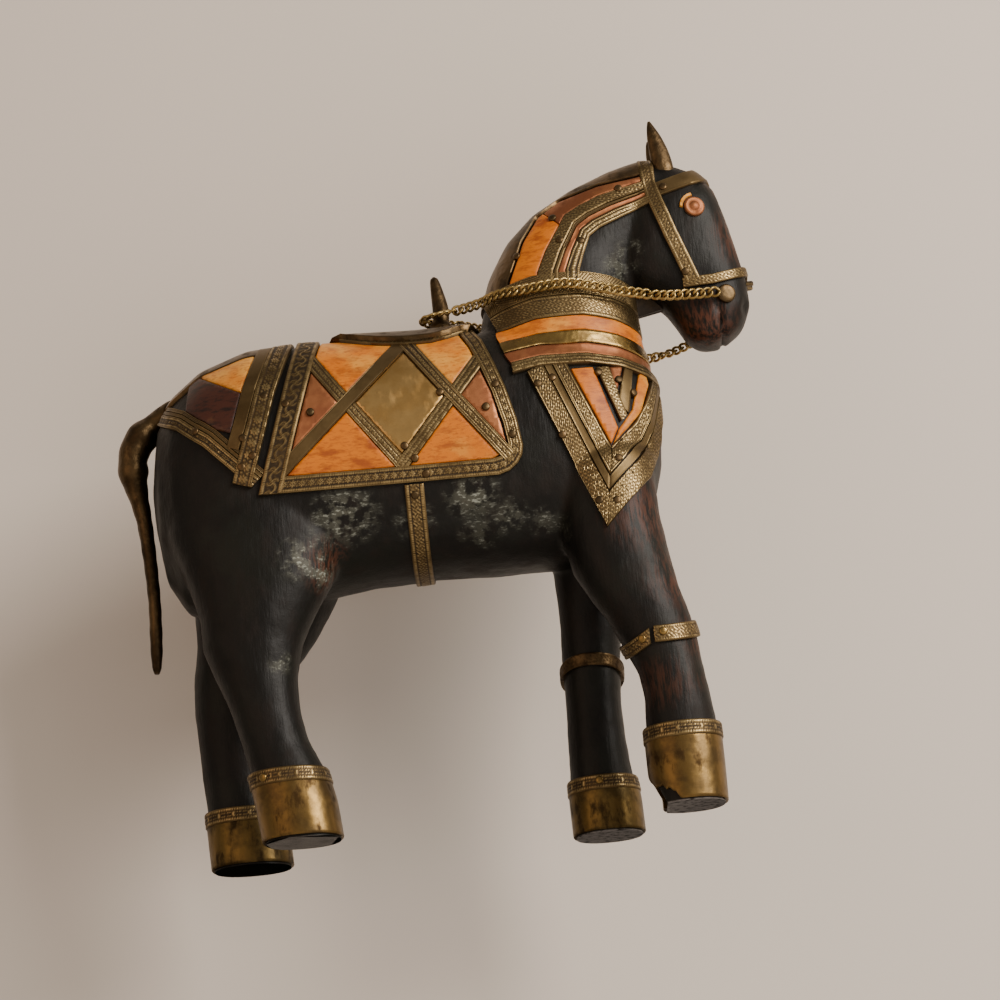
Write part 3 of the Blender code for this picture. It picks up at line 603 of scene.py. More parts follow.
def resample(rows: np.ndarray, places: np.ndarray) -> np.ndarray:
    """Reads a run of rows at fractional places, on a smooth curve through them.

    Args:
        rows: The known rows, along the first axis.
        places: Where to read, counted in rows.

    Returns:
        One row for each place.
    """
    last = len(rows) - 1
    places = np.clip(places, 0, last - 1e-9)
    base = np.floor(places).astype(int)
    t = (places - base).reshape(-1, *[1] * (rows.ndim - 1))
    before, here, after, beyond = (rows[np.clip(base + step, 0, last)] for step in (-1, 0, 1, 2))
    before = np.where((base == 0).reshape(t.shape), 2 * here - after, before)
    beyond = np.where((base == last - 1).reshape(t.shape), 2 * after - here, beyond)
    first = (after - before) * t
    second = (2 * before - 5 * here + 4 * after - beyond) * t ** 2
    third = (3 * here - before - 3 * after + beyond) * t ** 3
    return here + (first + second + third) / 2


def even_places(rows: np.ndarray, step: float, fewest: int = 2) -> np.ndarray:
    """Finds the fractional places that are an even distance apart along a run of points.

    Args:
        rows: The points.
        step: The distance.
        fewest: How many places there are at least.

    Returns:
        The places, counted in rows.
    """
    lengths = np.concatenate([[0.0], np.cumsum(np.linalg.norm(np.diff(rows, axis=0), axis=1))])
    count = max(fewest, round(lengths[-1] / step) + 1)
    return np.interp(np.linspace(0, lengths[-1], count), lengths, np.arange(len(rows)))


def smooth_path(points: Sequence[Sequence[float]], step: float) -> np.ndarray:
    """Sets points at an even distance along a smooth curve through the given ones.

    Args:
        points: The given points, whose first three values are x, y and z.
        step: The distance.

    Returns:
        The points, with whatever else the given ones carry.
    """
    rows = np.asarray(points, float)
    dense = resample(rows, np.linspace(0, len(rows) - 1, 12 * len(rows)))
    return resample(dense, even_places(dense[:, :3], step))


def signed_power(value: np.ndarray, power: float) -> np.ndarray:
    """A power that keeps the sign."""
    return np.copysign(np.abs(value) ** power, value)


def loft_faces(rings: int, around: int) -> list[tuple[int, ...]]:
    """Joins rings of as many points each to a closed skin with a flat cap at both ends.

    Args:
        rings: How many rings.
        around: How many points in each.

    Returns:
        The faces, as the rows of their corners.
    """
    faces = []
    for ring in range(rings - 1):
        here, there = ring * around, (ring + 1) * around
        for step in range(around):
            after = (step + 1) % around
            faces.append((here + step, here + after, there + after, there + step))
    return [*faces, tuple(range(around))[::-1], tuple(range((rings - 1) * around, rings * around))]


@dataclass(frozen=True)
class Carving:
    """The horse's wooden body.

    A station is two points of the outline in the side view (x, z, x, z), the y of the section's middle, its
    half width, and how square it is (2 is an ellipse).
    """

    torso: tuple = (
        (-92.0, 128, -92.0, 150, 0, 10, 2.0), (-89.0, 108, -89.0, 170, 0, 21, 2.0),
        (-82.0, 96, -82.0, 181, 0, 29, 2.1), (-70.0, 93, -70.0, 190, 0, 34.5, 2.2),
        (-52.0, 94, -52.0, 196, 0, 37, 2.3), (-32.0, 98, -32.0, 197, 0, 37.5, 2.3),
        (-10.0, 101, -10.0, 196, 0, 37, 2.3), (14.0, 102, 14.0, 195, 0, 36.5, 2.3),
        (38.0, 101, 38.0, 196, 0, 36, 2.3), (58.0, 101, 58.0, 197, 0, 35, 2.2),
        (76.0, 103, 76.0, 194, 0, 33, 2.2), (90.0, 110, 90.0, 188, 0, 29.5, 2.1),
        (99.0, 122, 99.0, 180, 0, 23, 2.0), (103.5, 138, 103.5, 170, 0, 13, 2.0),
    )
    neck: tuple = (
        (98, 148, 34, 180, 0, 27, 2.2), (103, 170, 38, 196, 0, 26, 2.2), (100, 186, 40.5, 206, 0, 24, 2.2),
        (99, 199, 45, 219, 0, 21.5, 2.2), (99, 208, 52.5, 232, 0, 19.5, 2.2),
        (101, 216, 63.5, 243, 0, 17.5, 2.2), (106, 225, 79, 252, 0, 16, 2.2),
        (113, 236, 95, 258.5, 0, 14.5, 2.2), (119, 246, 107, 261.5, 0, 13, 2.2),
    )
    head: tuple = (
        (110, 262, 98, 240, 0, 11, 2.2), (119, 260.5, 95, 223, 0, 14.5, 2.4),
        (129, 255, 96.5, 212, 0, 16.5, 2.7), (135.5, 247.5, 102, 207.5, 0, 16.5, 2.8),
        (138.5, 236, 107.5, 204, 0, 15.5, 2.8), (141.5, 222, 111.5, 199.5, 0, 14, 2.7),
        (144, 209, 115, 193.5, 0, 12.8, 2.6), (144.5, 199, 118, 187.5, 0, 12.2, 2.5),
        (141, 190.5, 122, 184, 0, 10.5, 2.3), (135, 185.5, 127.5, 183.5, 0, 7, 2.0),
    )
    right_foreleg: tuple = (
        (64, 151, 89, 153, -12, 12, 2.2), (60, 130, 99, 135, -16, 17.5, 2.2),
        (62, 106, 99.5, 112, -18, 17, 2.2), (65, 92, 101.5, 96, -20, 15.5, 2.2),
        (70, 82, 103.5, 83, -21.5, 13.8, 2.2), (76, 72, 106.5, 71, -22.3, 12.8, 2.2),
        (81, 60, 108.2, 62, -22.8, 12.2, 2.2), (85, 51, 108.8, 53, -23, 11.5, 2.2),
        (86.2, 41, 110.6, 40, -23, 11.3, 2.2), (85.5, 28, 112, 28, -23, 12, 2.2),
        (85.5, 14, 112, 14, -23, 12.7, 2.2), (87, -10, 111.5, -10, -23, 12.7, 2.2),
    )
    left_foreleg: tuple = (
        (60, 151, 87, 151, 12, 12, 2.2), (54, 130, 97, 132, 16, 17.5, 2.2),
        (58, 106, 90, 108, 19, 15.5, 2.2), (58.5, 84, 83, 85, 22, 12.8, 2.2),
        (58, 66, 80.3, 67, 23, 11.8, 2.2), (57.7, 47, 79, 47, 23, 11.2, 2.2),
        (56.8, 28, 80, 28, 23, 11.8, 2.2), (56.5, 14, 82, 14, 23, 12.7, 2.2),
        (57, -10, 82.5, -10, 23, 12.7, 2.2),
    )
    right_hind_leg: tuple = (
        (-76, 168, -34, 164, -12, 13, 2.2), (-88, 150, -25, 142, -16, 19.5, 2.2),
        (-86, 120, -20, 114, -18, 19, 2.2), (-79, 99, -25, 98, -20, 17, 2.2),
        (-75.5, 86, -32.5, 86, -21.5, 15.3, 2.2), (-75.3, 75, -38, 75, -22.3, 13.8, 2.2),
        (-70.5, 62, -40.8, 62, -22.8, 12.5, 2.2), (-66.3, 50, -40.7, 50, -23, 11.8, 2.2),
        (-63, 38, -38.5, 38, -23, 11.5, 2.2), (-60.5, 26, -33.5, 27, -23, 12.2, 2.2),
        (-58.5, 14, -30.5, 14, -23, 13, 2.2), (-55.5, -10, -28, -10, -23, 13, 2.2),
    )
    left_hind_leg: tuple = (
        (-76, 168, -34, 164, 12, 13, 2.2), (-88, 150, -25, 142, 16, 19.5, 2.2),
        (-86, 120, -20, 116, 18, 19, 2.2), (-82, 101, -27, 101, 20, 17, 2.2),
        (-82, 87, -36, 87, 21.5, 15, 2.2), (-84.3, 75, -45, 76, 22.3, 13.5, 2.2),
        (-84.6, 62, -53, 63, 22.8, 12.5, 2.2), (-84, 50, -56.5, 50, 23, 11.8, 2.2),
        (-83, 34, -57.5, 34, 23, 11.5, 2.2), (-82, 22, -55, 22, 23, 12.2, 2.2),
        (-81.5, 12, -52.5, 12, 23, 13, 2.2), (-80.5, -10, -51, -10, 23, 13, 2.2),
    )
    around: int = 56
    voxel: float = 1.25
    soften_rounds: int = 11

    # Where handling has worn the stain, and where dry scuffs lie: x, y, z and how far each reaches.
    worn: tuple = (
        (92, -24, 110, 16), (84, -30, 128, 12), (100, -22, 84, 14), (104, -24, 62, 10), (96, -24, 45, 12),
        (142, -6, 225, 12), (140, -8, 250, 8), (126, -8, 190, 12), (-26, -30, 102, 10), (100, 0, 150, 14),
        (28, -36, 118, 5), (92, 24, 110, 14), (140, 8, 230, 14),
    )
    scuffed: tuple = (
        (-18, -36, 118, 12), (-36, -32, 104, 8), (30, -36, 122, 10), (56, -30, 108, 8), (96, -18, 214, 7),
        (99, -17, 222, 5), (32, -30, 105, 10), (-48, -30, 66, 5), (-20, 36, 112, 12), (48, 30, 112, 10),
        (8, -34, 112, 9), (44, -32, 112, 8), (-28, -30, 100, 7),
    )
    # Where the soles are painted pale as painted light from below: x, y, z and how far each reaches.
    lit_soles: tuple = ((98.7, -23, -2, 15), (69.3, 23, -2, 15), (-67.0, 23, -2, 9))

    # The front right hoof has lost its rear corner: the least x that is left at each height, 32 mm out.
    chip_plane: float = 32.0
    chip_heights: tuple = (0.0, 3.6, 7.6, 10.4)
    chip_edge: tuple = (90.2, 88.6, 86.8, 80.0)

    def ring(self, station: Sequence[float]) -> np.ndarray:
        """Draws one cross-section.

        Args:
            station: The section's station, as told above.

        Returns:
            Its points, once round.
        """
        ax, az, bx, bz, y, half_width, squareness = station
        first, last = np.array((ax, y, az)), np.array((bx, y, bz))
        turn = 2 * math.pi * np.arange(self.around) / self.around
        along = signed_power(np.cos(turn), 2 / squareness)[:, None]
        across = signed_power(np.sin(turn), 2 / squareness)[:, None]
        return (first + last) / 2 + (last - first) / 2 * along + np.array((0, half_width, 0)) * across

    def melt(self) -> bpy.types.Mesh:
        """Melts the lofts together, smooths them and cuts them flat at the soles.

        Returns:
            The mesh, in drawn millimetres.
        """
        shell = bmesh.new()
        parts = (
            self.torso, self.neck, self.head, self.right_foreleg, self.left_foreleg, self.right_hind_leg,
            self.left_hind_leg,
        )
        for stations in parts:
            rings = np.concatenate([self.ring(station) for station in stations])
            corners = [shell.verts.new(point) for point in rings]
            faces = loft_faces(len(stations), self.around)
            made = [shell.faces.new([corners[i] for i in face]) for face in faces]
            bmesh.ops.recalc_face_normals(shell, faces=made)
        mesh = bpy.data.meshes.new("carving_rough")
        shell.to_mesh(mesh)
        shell.free()
        rough = bpy.data.objects.new("carving_rough", mesh)
        bpy.context.scene.collection.objects.link(rough)
        remesh = rough.modifiers.new("melt", "REMESH")
        remesh.mode = "VOXEL"
        remesh.voxel_size = self.voxel
        soften = rough.modifiers.new("soften", "SMOOTH")
        soften.factor = 0.5
        soften.iterations = self.soften_rounds
        bpy.context.view_layer.update()
        graph = bpy.context.evaluated_depsgraph_get()
        melted = bpy.data.meshes.new_from_object(rough.evaluated_get(graph))
        bpy.data.objects.remove(rough)
        cut = bmesh.new()
        cut.from_mesh(melted)
        everything = cut.verts[:] + cut.edges[:] + cut.faces[:]
        bmesh.ops.bisect_plane(
            cut, geom=everything, plane_co=(0, 0, 0), plane_no=(0, 0, -1), clear_outer=True,
        )
        bmesh.ops.holes_fill(cut, edges=[edge for edge in cut.edges if edge.is_boundary])
        cut.to_mesh(melted)
        cut.free()
        return melted

    @staticmethod
    def groove(points: np.ndarray, line: Line, width: float) -> np.ndarray:
        """Tells how near each point is to a line of the side view.

        Args:
            points: The points.
            line: The line.
            width: How wide the groove along it is.

        Returns:
            One for a point on the line, falling to nothing beside it.
        """
        nearest = np.full(len(points), 1e9)
        drawn = points[:, [0, 2]]
        for start, end in zip(line, line[1:]):
            run = np.subtract(end, start)
            share = np.clip((drawn - start) @ run / (run @ run), 0, 1)
            nearest = np.minimum(nearest, np.linalg.norm(drawn - start - share[:, None] * run, axis=1))
        return np.exp(-((nearest / width) ** 2))

    @staticmethod
    def near(points: np.ndarray, spots: Sequence[Sequence[float]]) -> np.ndarray:
        """Tells how near each point is to the closest of some spots.

        Args:
            points: The points.
            spots: The spots' x, y, z and reach.

        Returns:
            Values between 0 and 1.
        """
        found = np.zeros(len(points))
        for x, y, z, reach in spots:
            distance = np.linalg.norm(points - (x, y, z), axis=1)
            found = np.maximum(found, np.clip(1.3 - distance / reach, 0, 1))
        return found

    def sculpt(self, points: np.ndarray, normals: np.ndarray) -> np.ndarray:
        """Cuts the mouth and nostrils and leaves the marks of the chisel.

        Args:
            points: The smooth carving's points.
            normals: Their normals.

        Returns:
            The points of the finished carving.
        """
        depth = 1.3 * self.groove(points, MOUTH_LINE, 0.9) * (points[:, 0] > 120)
        nostrils = [(141.5, side * 6.5, 197.0, 3.0) for side in (-1, 1)]
        depth = depth + 1.2 * self.near(points, nostrils)
        marks = np.array([
            noise.noise(Vector(point) / 9.0) + 0.5 * noise.noise(Vector(point) / 3.5) for point in points
        ])
        above_sole = np.clip(points[:, 2] / 4.0, 0, 1)
        return points - normals * ((depth + 0.22 * marks) * above_sole)[:, None]

    def build(self) -> "Wood":
        """Makes the body piece.

        Returns:
            The smooth carving, which the sheets are laid on.
        """
        mesh = self.melt()
        count = len(mesh.vertices)
        points, normals = np.empty(count * 3, np.float32), np.empty(count * 3, np.float32)
        mesh.vertices.foreach_get("co", points)
        mesh.vertices.foreach_get("normal", normals)
        points, normals = points.reshape(-1, 3).astype(float), normals.reshape(-1, 3).astype(float)
        drawn_height = points[:, 2] - LEAN * (self.chip_plane - np.abs(points[:, 1]))
        left = np.interp(drawn_height, self.chip_heights, self.chip_edge)
        chipped = (points[:, 1] < -8) & (points[:, 0] > 70) & (drawn_height < self.chip_heights[-1])
        points[:, 0] = np.where(chipped, np.maximum(points[:, 0], left), points[:, 0])
        faces = [tuple(face.vertices) for face in mesh.polygons]
        wood = Wood(BVHTree.FromPolygons(points.tolist(), faces))
        skin = Skin()
        skin.add(
            self.sculpt(points, normals), faces,
            wear=self.near(points, self.worn), scuff=self.near(points, self.scuffed),
            # The soles' spots, painted pale as painted light from below.
            raw=self.near(points, self.lit_soles) * (points[:, 2] < 0.3),
        )
        skin.build("carved_body", WOOD, "horse_body", sharp=60.0)
        bpy.data.meshes.remove(mesh)
        return wood


MOUTH_LINE = ((131.2, 196.0), (131.9, 191.0), (132.6, 185.0), (133.0, 176.0))
AROUND = ((0, 0, 0), (1.5, 0, 0), (-1.5, 0, 0), (0, 1.5, 0), (0, -1.5, 0), (0, 0, 1.5), (0, 0, -1.5))


@dataclass(frozen=True)
class Wood:
    """The smooth carving as something that rays can meet."""

    tree: BVHTree

    def meet(self, origin: Sequence[float], direction: Sequence[float]) -> Vector | None:
        """Where a ray meets the wood, if it does."""
        return self.tree.ray_cast(Vector(origin), Vector(direction))[0]

    def side_point(self, point: Point, plane: float, side: int) -> Vector | None:
        """Where the line of sight through a point of the side view meets the wood.

        Args:
            point: The drawn x and z.
            plane: The distance from the horse's middle at which z is true.
            side: -1 on the horse's right, 1 on its left.

        Returns:
            The point on the wood, or None where the line passes it by.
        """
        start = (point[0], side * FAR_OUT, point[1] + LEAN * (plane - FAR_OUT))
        found = self.meet(start, Vector((0, -side, LEAN)).normalized())
        return found if found is not None and found.y * side > -1.0 else None

    def nearest_middle(self, point: Point, plane: float) -> Vector:
        """The wood nearest to where a drawn point reaches the horse's middle."""
        return self.tree.find_nearest(Vector((point[0], 0.0, point[1] + LEAN * plane)))[0]

    def outward(self, place: Vector) -> Vector:
        """Finds the wood's normal at a place on it, evened out over a few millimetres.

        Args:
            place: The place.

        Returns:
            The normal.
        """
        total = Vector()
        for offset in AROUND:
            total += self.tree.find_nearest(place + Vector(offset))[1]
        return total.normalized()


class Core(Enum):
    """What the wood is unrolled from: the trunk's spine, an upright post, or the curve of the crest."""

    SPINE = "spine"
    POST = "post"
    CREST = "crest"


@dataclass(frozen=True)
class Wrap:
    """Unrolls a stretch of the wood to a flat plane, and back, by rays that leave a line inside it."""

    wood: Wood
    core: Core
    x: float = 0.0
    y: float = 0.0
    z: float = 0.0
    radius: float = 40.0
    inner: float = 45.0

    def ray(self, a: float, b: float) -> tuple[Vector, Vector]:
        """Finds the ray of one unrolled point, from the core outwards.

        Args:
            a: The point's first coordinate.
            b: The second.

        Returns:
            Where the ray starts, and its direction.
        """
        if self.core is Core.SPINE:
            turn = b / self.radius
            return Vector((a, self.y, self.z)), Vector((0, math.sin(turn), math.cos(turn)))
        if self.core is Core.POST:
            turn = a / self.radius
            return Vector((self.x, self.y, b)), Vector((math.cos(turn), math.sin(turn), 0))
        out = Vector((math.cos(a / self.inner), 0, math.sin(a / self.inner)))
        origin = Vector((self.x, 0, self.z)) + out * self.inner
        return origin, out * math.cos(b / self.radius) + Vector((0, math.sin(b / self.radius), 0))

    def unroll(self, place: Vector) -> Point:
        """Finds where a place on the wood lies on the unrolled plane.

        Args:
            place: The place.

        Returns:
            The unrolled point.
        """
        if self.core is Core.SPINE:
            return place.x, self.radius * math.atan2(place.y - self.y, place.z - self.z)
        if self.core is Core.POST:
            return self.radius * math.atan2(place.y - self.y, place.x - self.x), place.z
        beyond = math.hypot(place.x - self.x, place.z - self.z) - self.inner
        turn = math.atan2(place.z - self.z, place.x - self.x)
        return self.inner * turn, self.radius * math.atan2(place.y, beyond)

    def cast(self, a: float, b: float) -> Vector:
        """The place on the wood of one unrolled point."""
        origin, direction = self.ray(a, b)
        return self.wood.meet(origin, direction) or self.wood.tree.find_nearest(origin + direction * 30)[0]

    def flatten(self, points: Line, plane: float, side: int) -> np.ndarray:
        """Unrolls points of the side view.

        Args:
            points: The drawn points; one that is past the wood's outline goes to the horse's middle.
            plane: The distance from the middle at which their z is true.
            side: -1 on the horse's right, 1 on its left.

        Returns:
            One unrolled point for each, evened out where the line of sight only grazes the wood.
        """
        found = [self.wood.side_point(point, plane, side) for point in points]
        for end in (0, -1):
            if found[end] is None:
                found[end] = self.wood.nearest_middle(points[end], plane)
        known = [index for index, place in enumerate(found) if place is not None]
        rows = np.array([self.unroll(found[index]) for index in known])
        every = np.arange(len(points))
        return np.stack([np.interp(every, known, rows[:, axis]) for axis in (0, 1)], axis=1)


def between(line: Line, counts: Sequence[int]) -> list[Point]:
    """Parts each stretch of a line into a number of steps.

    Args:
        line: The line.
        counts: The number of steps of each stretch.

    Returns:
        The line's points and the new ones.
    """
    points = [tuple(line[0])]
    for start, end, count in zip(line, line[1:], counts):
        run = np.subtract(end, start)
        points.extend(tuple(np.add(start, run * step / count)) for step in range(1, count + 1))
    return points


def matched(first: Line, second: Line, step: float = RAY_STEP) -> tuple[list[Point], list[Point]]:
    """Gives the two edges of a strip as many points each.

    Args:
        first: One edge.
        second: The other edge, with as many corners.
        step: The distance of the points on the longer edge of each stretch.

    Returns:
        Both edges.
    """
    runs = zip(zip(first, first[1:]), zip(second, second[1:]))
    counts = [max(1, math.ceil(max(math.dist(*pair) for pair in run) / step)) for run in runs]
    return between(first, counts), between(second, counts)


def distance_inside(point: Point, start: Point, end: Point) -> float:
    """Measures how far a point lies to the left of a line.

    Args:
        point: The point.
        start: Where the line starts.
        end: Where it ends.

    Returns:
        The distance, below zero on the right.
    """
    along_x, along_z = end[0] - start[0], end[1] - start[1]
    across = along_x * (point[1] - start[1]) - along_z * (point[0] - start[0])
    return across / math.hypot(along_x, along_z)


def keep_left(outline: Line, line: Line, inset: float = 0.0) -> list[Point]:
    """Cuts an outline off along a line and keeps what lies to its left.

    Args:
        outline: The outline.
        line: Two points of the line.
        inset: How far from the line the cut is.

    Returns:
        The outline that is left.
    """
    kept = []
    for point, following in zip(outline, [*outline[1:], outline[0]]):
        here = distance_inside(point, *line) - inset
        there = distance_inside(following, *line) - inset
        if here >= 0:
            kept.append(tuple(point))
        if here * there < 0:
            share = here / (here - there)
            kept.append(tuple(a + share * (b - a) for a, b in zip(point, following)))
    return kept


def keep_right(outline: Line, line: Line, inset: float = 0.0) -> list[Point]:
    """The part of an outline that lies at least inset to the right of a line."""
    return keep_left(outline, [line[1], line[0]], inset)


def shrink(outline: Line, inset: float) -> list[Point]:
    """Moves an outline in by the same amount all round.

    Args:
        outline: The outline, with its inside on the left.
        inset: How far.

    Returns:
        The smaller outline.
    """
    moved = []
    for before, point, after in zip([outline[-1], *outline[:-1]], outline, [*outline[1:], outline[0]]):
        arriving = Vector((point[0] - before[0], point[1] - before[1])).normalized()
        leaving = Vector((after[0] - point[0], after[1] - point[1])).normalized()
        inward = Vector((-arriving.y - leaving.y, arriving.x + leaving.x))
        step = inward * inset / max(1 + arriving.dot(leaving), SHARPEST)
        moved.append((point[0] + step.x, point[1] + step.y))
    return moved


def beside(line: Line, distance: float) -> list[Point]:
    """Moves a line of points to the left of its run.

    Args:
        line: The line.
        distance: How far; below zero to the right.

    Returns:
        The moved line.
    """
    moved = []
    for index, point in enumerate(line):
        before, after = line[max(index - 1, 0)], line[min(index + 1, len(line) - 1)]
        run = Vector((after[0] - before[0], after[1] - before[1])).normalized()
        moved.append((point[0] - run.y * distance, point[1] + run.x * distance))
    return moved


def blend_lines(first: Line, second: Line, share: float) -> list[Point]:
    """The line that lies a share of the way from one line to another."""
    return [tuple(np.add(a, np.subtract(b, a) * share)) for a, b in zip(first, second)]


def dome(distance: np.ndarray, radius: float) -> np.ndarray:
    """The height of a round bump, one at its middle and nothing from its radius on."""
    return np.sqrt(np.clip(1 - (distance / radius) ** 2, 0, 1))


class Motif(Enum):
    """The patterns that a strip can be pressed with."""

    FLOWERS = "flowers"
    VINE = "vine"
    WORMS = "worms"
    HATCHED = "hatched"
    PLAIN = "plain"


@dataclass(frozen=True)
class Die:
    """A pattern as the strip's die presses it; lengths in millimetres."""

    motif: Motif = Motif.FLOWERS
    beads: float = 0.5
    bead_pitch: float = 0.95
    rim: float = 0.55

    def press(self, s: np.ndarray, t: np.ndarray, width: np.ndarray) -> np.ndarray:
        """How high the strip is pressed.

        Args:
            s: The distance along the strip.
            t: The distance from its middle line.
            width: The strip's width there.

        Returns:
            Heights between 0 and 1.
        """
        edge = width / 2 - np.abs(t)
        inside = width / 2 - self.rim - (2 * self.beads if self.beads else 0) - 0.15
        patterns = {
            Motif.FLOWERS: self.flowers, Motif.VINE: self.vine, Motif.WORMS: self.worms,
            Motif.HATCHED: self.hatched, Motif.PLAIN: self.plain,
        }
        pattern = patterns[self.motif](s, t, np.maximum(inside, 0.4))
        rim = np.exp(-(((edge - self.rim * 0.5) / (self.rim * 0.6)) ** 2)) * 0.75
        found = np.where(np.abs(t) < inside, np.maximum(pattern, 0.12), 0.0)
        if self.beads:
            along = np.mod(s, self.bead_pitch) - self.bead_pitch / 2
            row = dome(np.hypot(along, edge - self.rim - self.beads), self.beads * 1.05)
            found = np.maximum(found, row)
        return np.maximum(found, rim)

    def flowers(self, s: np.ndarray, t: np.ndarray, half: np.ndarray) -> np.ndarray:
        """Presses eight-petalled flowers in a row, with two dots between each two.

        Args:
            s: The distance along the strip.
            t: The distance from its middle line.
            half: Half the width that the pattern may fill.

        Returns:
            Heights between 0 and 1.
        """
        reach = float(np.median(half))
        pitch = max(2.3 * reach, 1.6)
        ds = np.mod(s, pitch) - pitch / 2
        around, angle = np.hypot(ds, t), np.arctan2(t, ds)
        petal = reach * (0.50 + 0.50 * np.abs(np.cos(4 * angle)))
        flower = np.clip((petal - around) / 0.35, 0, 1) * (0.55 + 0.45 * np.abs(np.cos(4 * angle)))
        flower = np.where(around < 0.20 * reach, 1.0, flower * (around > 0.32 * reach))
        gap = np.mod(s + pitch / 2, pitch) - pitch / 2
        dots = dome(np.hypot(gap, np.abs(t) - 0.55 * reach), 0.28 * reach)
        return np.maximum(flower, 0.9 * dots)

    def vine(self, s: np.ndarray, t: np.ndarray, half: np.ndarray) -> np.ndarray:
        """Presses a winding stem with a curl in each bend.

        Args:
            s: The distance along the strip.
            t: The distance from its middle line.
            half: Half the width that the pattern may fill.

        Returns:
            Heights between 0 and 1.
        """
        reach = float(np.median(half))
        pitch = 3.4 * max(reach, 0.8)
        stem = np.exp(-(((t - 0.55 * reach * np.sin(2 * math.pi * s / pitch)) / 0.32) ** 2))
        bend = np.mod(s + pitch / 4, pitch / 2) - pitch / 4
        side = np.sign(np.sin(2 * math.pi * s / pitch))
        around = np.hypot(bend, t + side * 0.35 * reach)
        curl = np.exp(-(((around - 0.42 * reach) / 0.26) ** 2)) + dome(around, 0.16 * reach)
        return np.clip(np.maximum(stem, 0.9 * curl), 0, 1)

    def worms(self, s: np.ndarray, t: np.ndarray, half: np.ndarray) -> np.ndarray:
        """Small crowded curls, as a worn die leaves them."""
        swirl = np.sin(4.3 * s + 1.7 * np.sin(3.3 * t)) + np.sin(4.9 * t + 2.1 * np.sin(2.7 * s + 0.7))
        return np.clip(0.45 + 0.40 * swirl, 0, 1)

    def hatched(self, s: np.ndarray, t: np.ndarray, half: np.ndarray) -> np.ndarray:
        """Slanting ridges that change their slope now and then."""
        slope = np.sign(np.sin(2 * math.pi * s / 13.0))
        return np.clip(0.5 + 0.5 * np.sin(2 * math.pi * (s + slope * t) / 1.25), 0, 1)

    def plain(self, s: np.ndarray, t: np.ndarray, half: np.ndarray) -> np.ndarray:
        """No pattern, only the worn ground."""
        return np.full(np.shape(s), 0.40)


FLOWERS, VINE, WORMS = Die(), Die(Motif.VINE), Die(Motif.WORMS, beads=0.0)
WORMS_BEADED, HATCHED = Die(Motif.WORMS), Die(Motif.HATCHED, beads=0.0)
BARE = Die(Motif.PLAIN, beads=0.0, rim=0.35)
BEADED_VINE = Die(Motif.VINE, beads=0.45, bead_pitch=0.9, rim=0.3)
LEG_WORMS, HOOF_FLOWERS = Die(Motif.WORMS, beads=0.4), Die(beads=0.45)


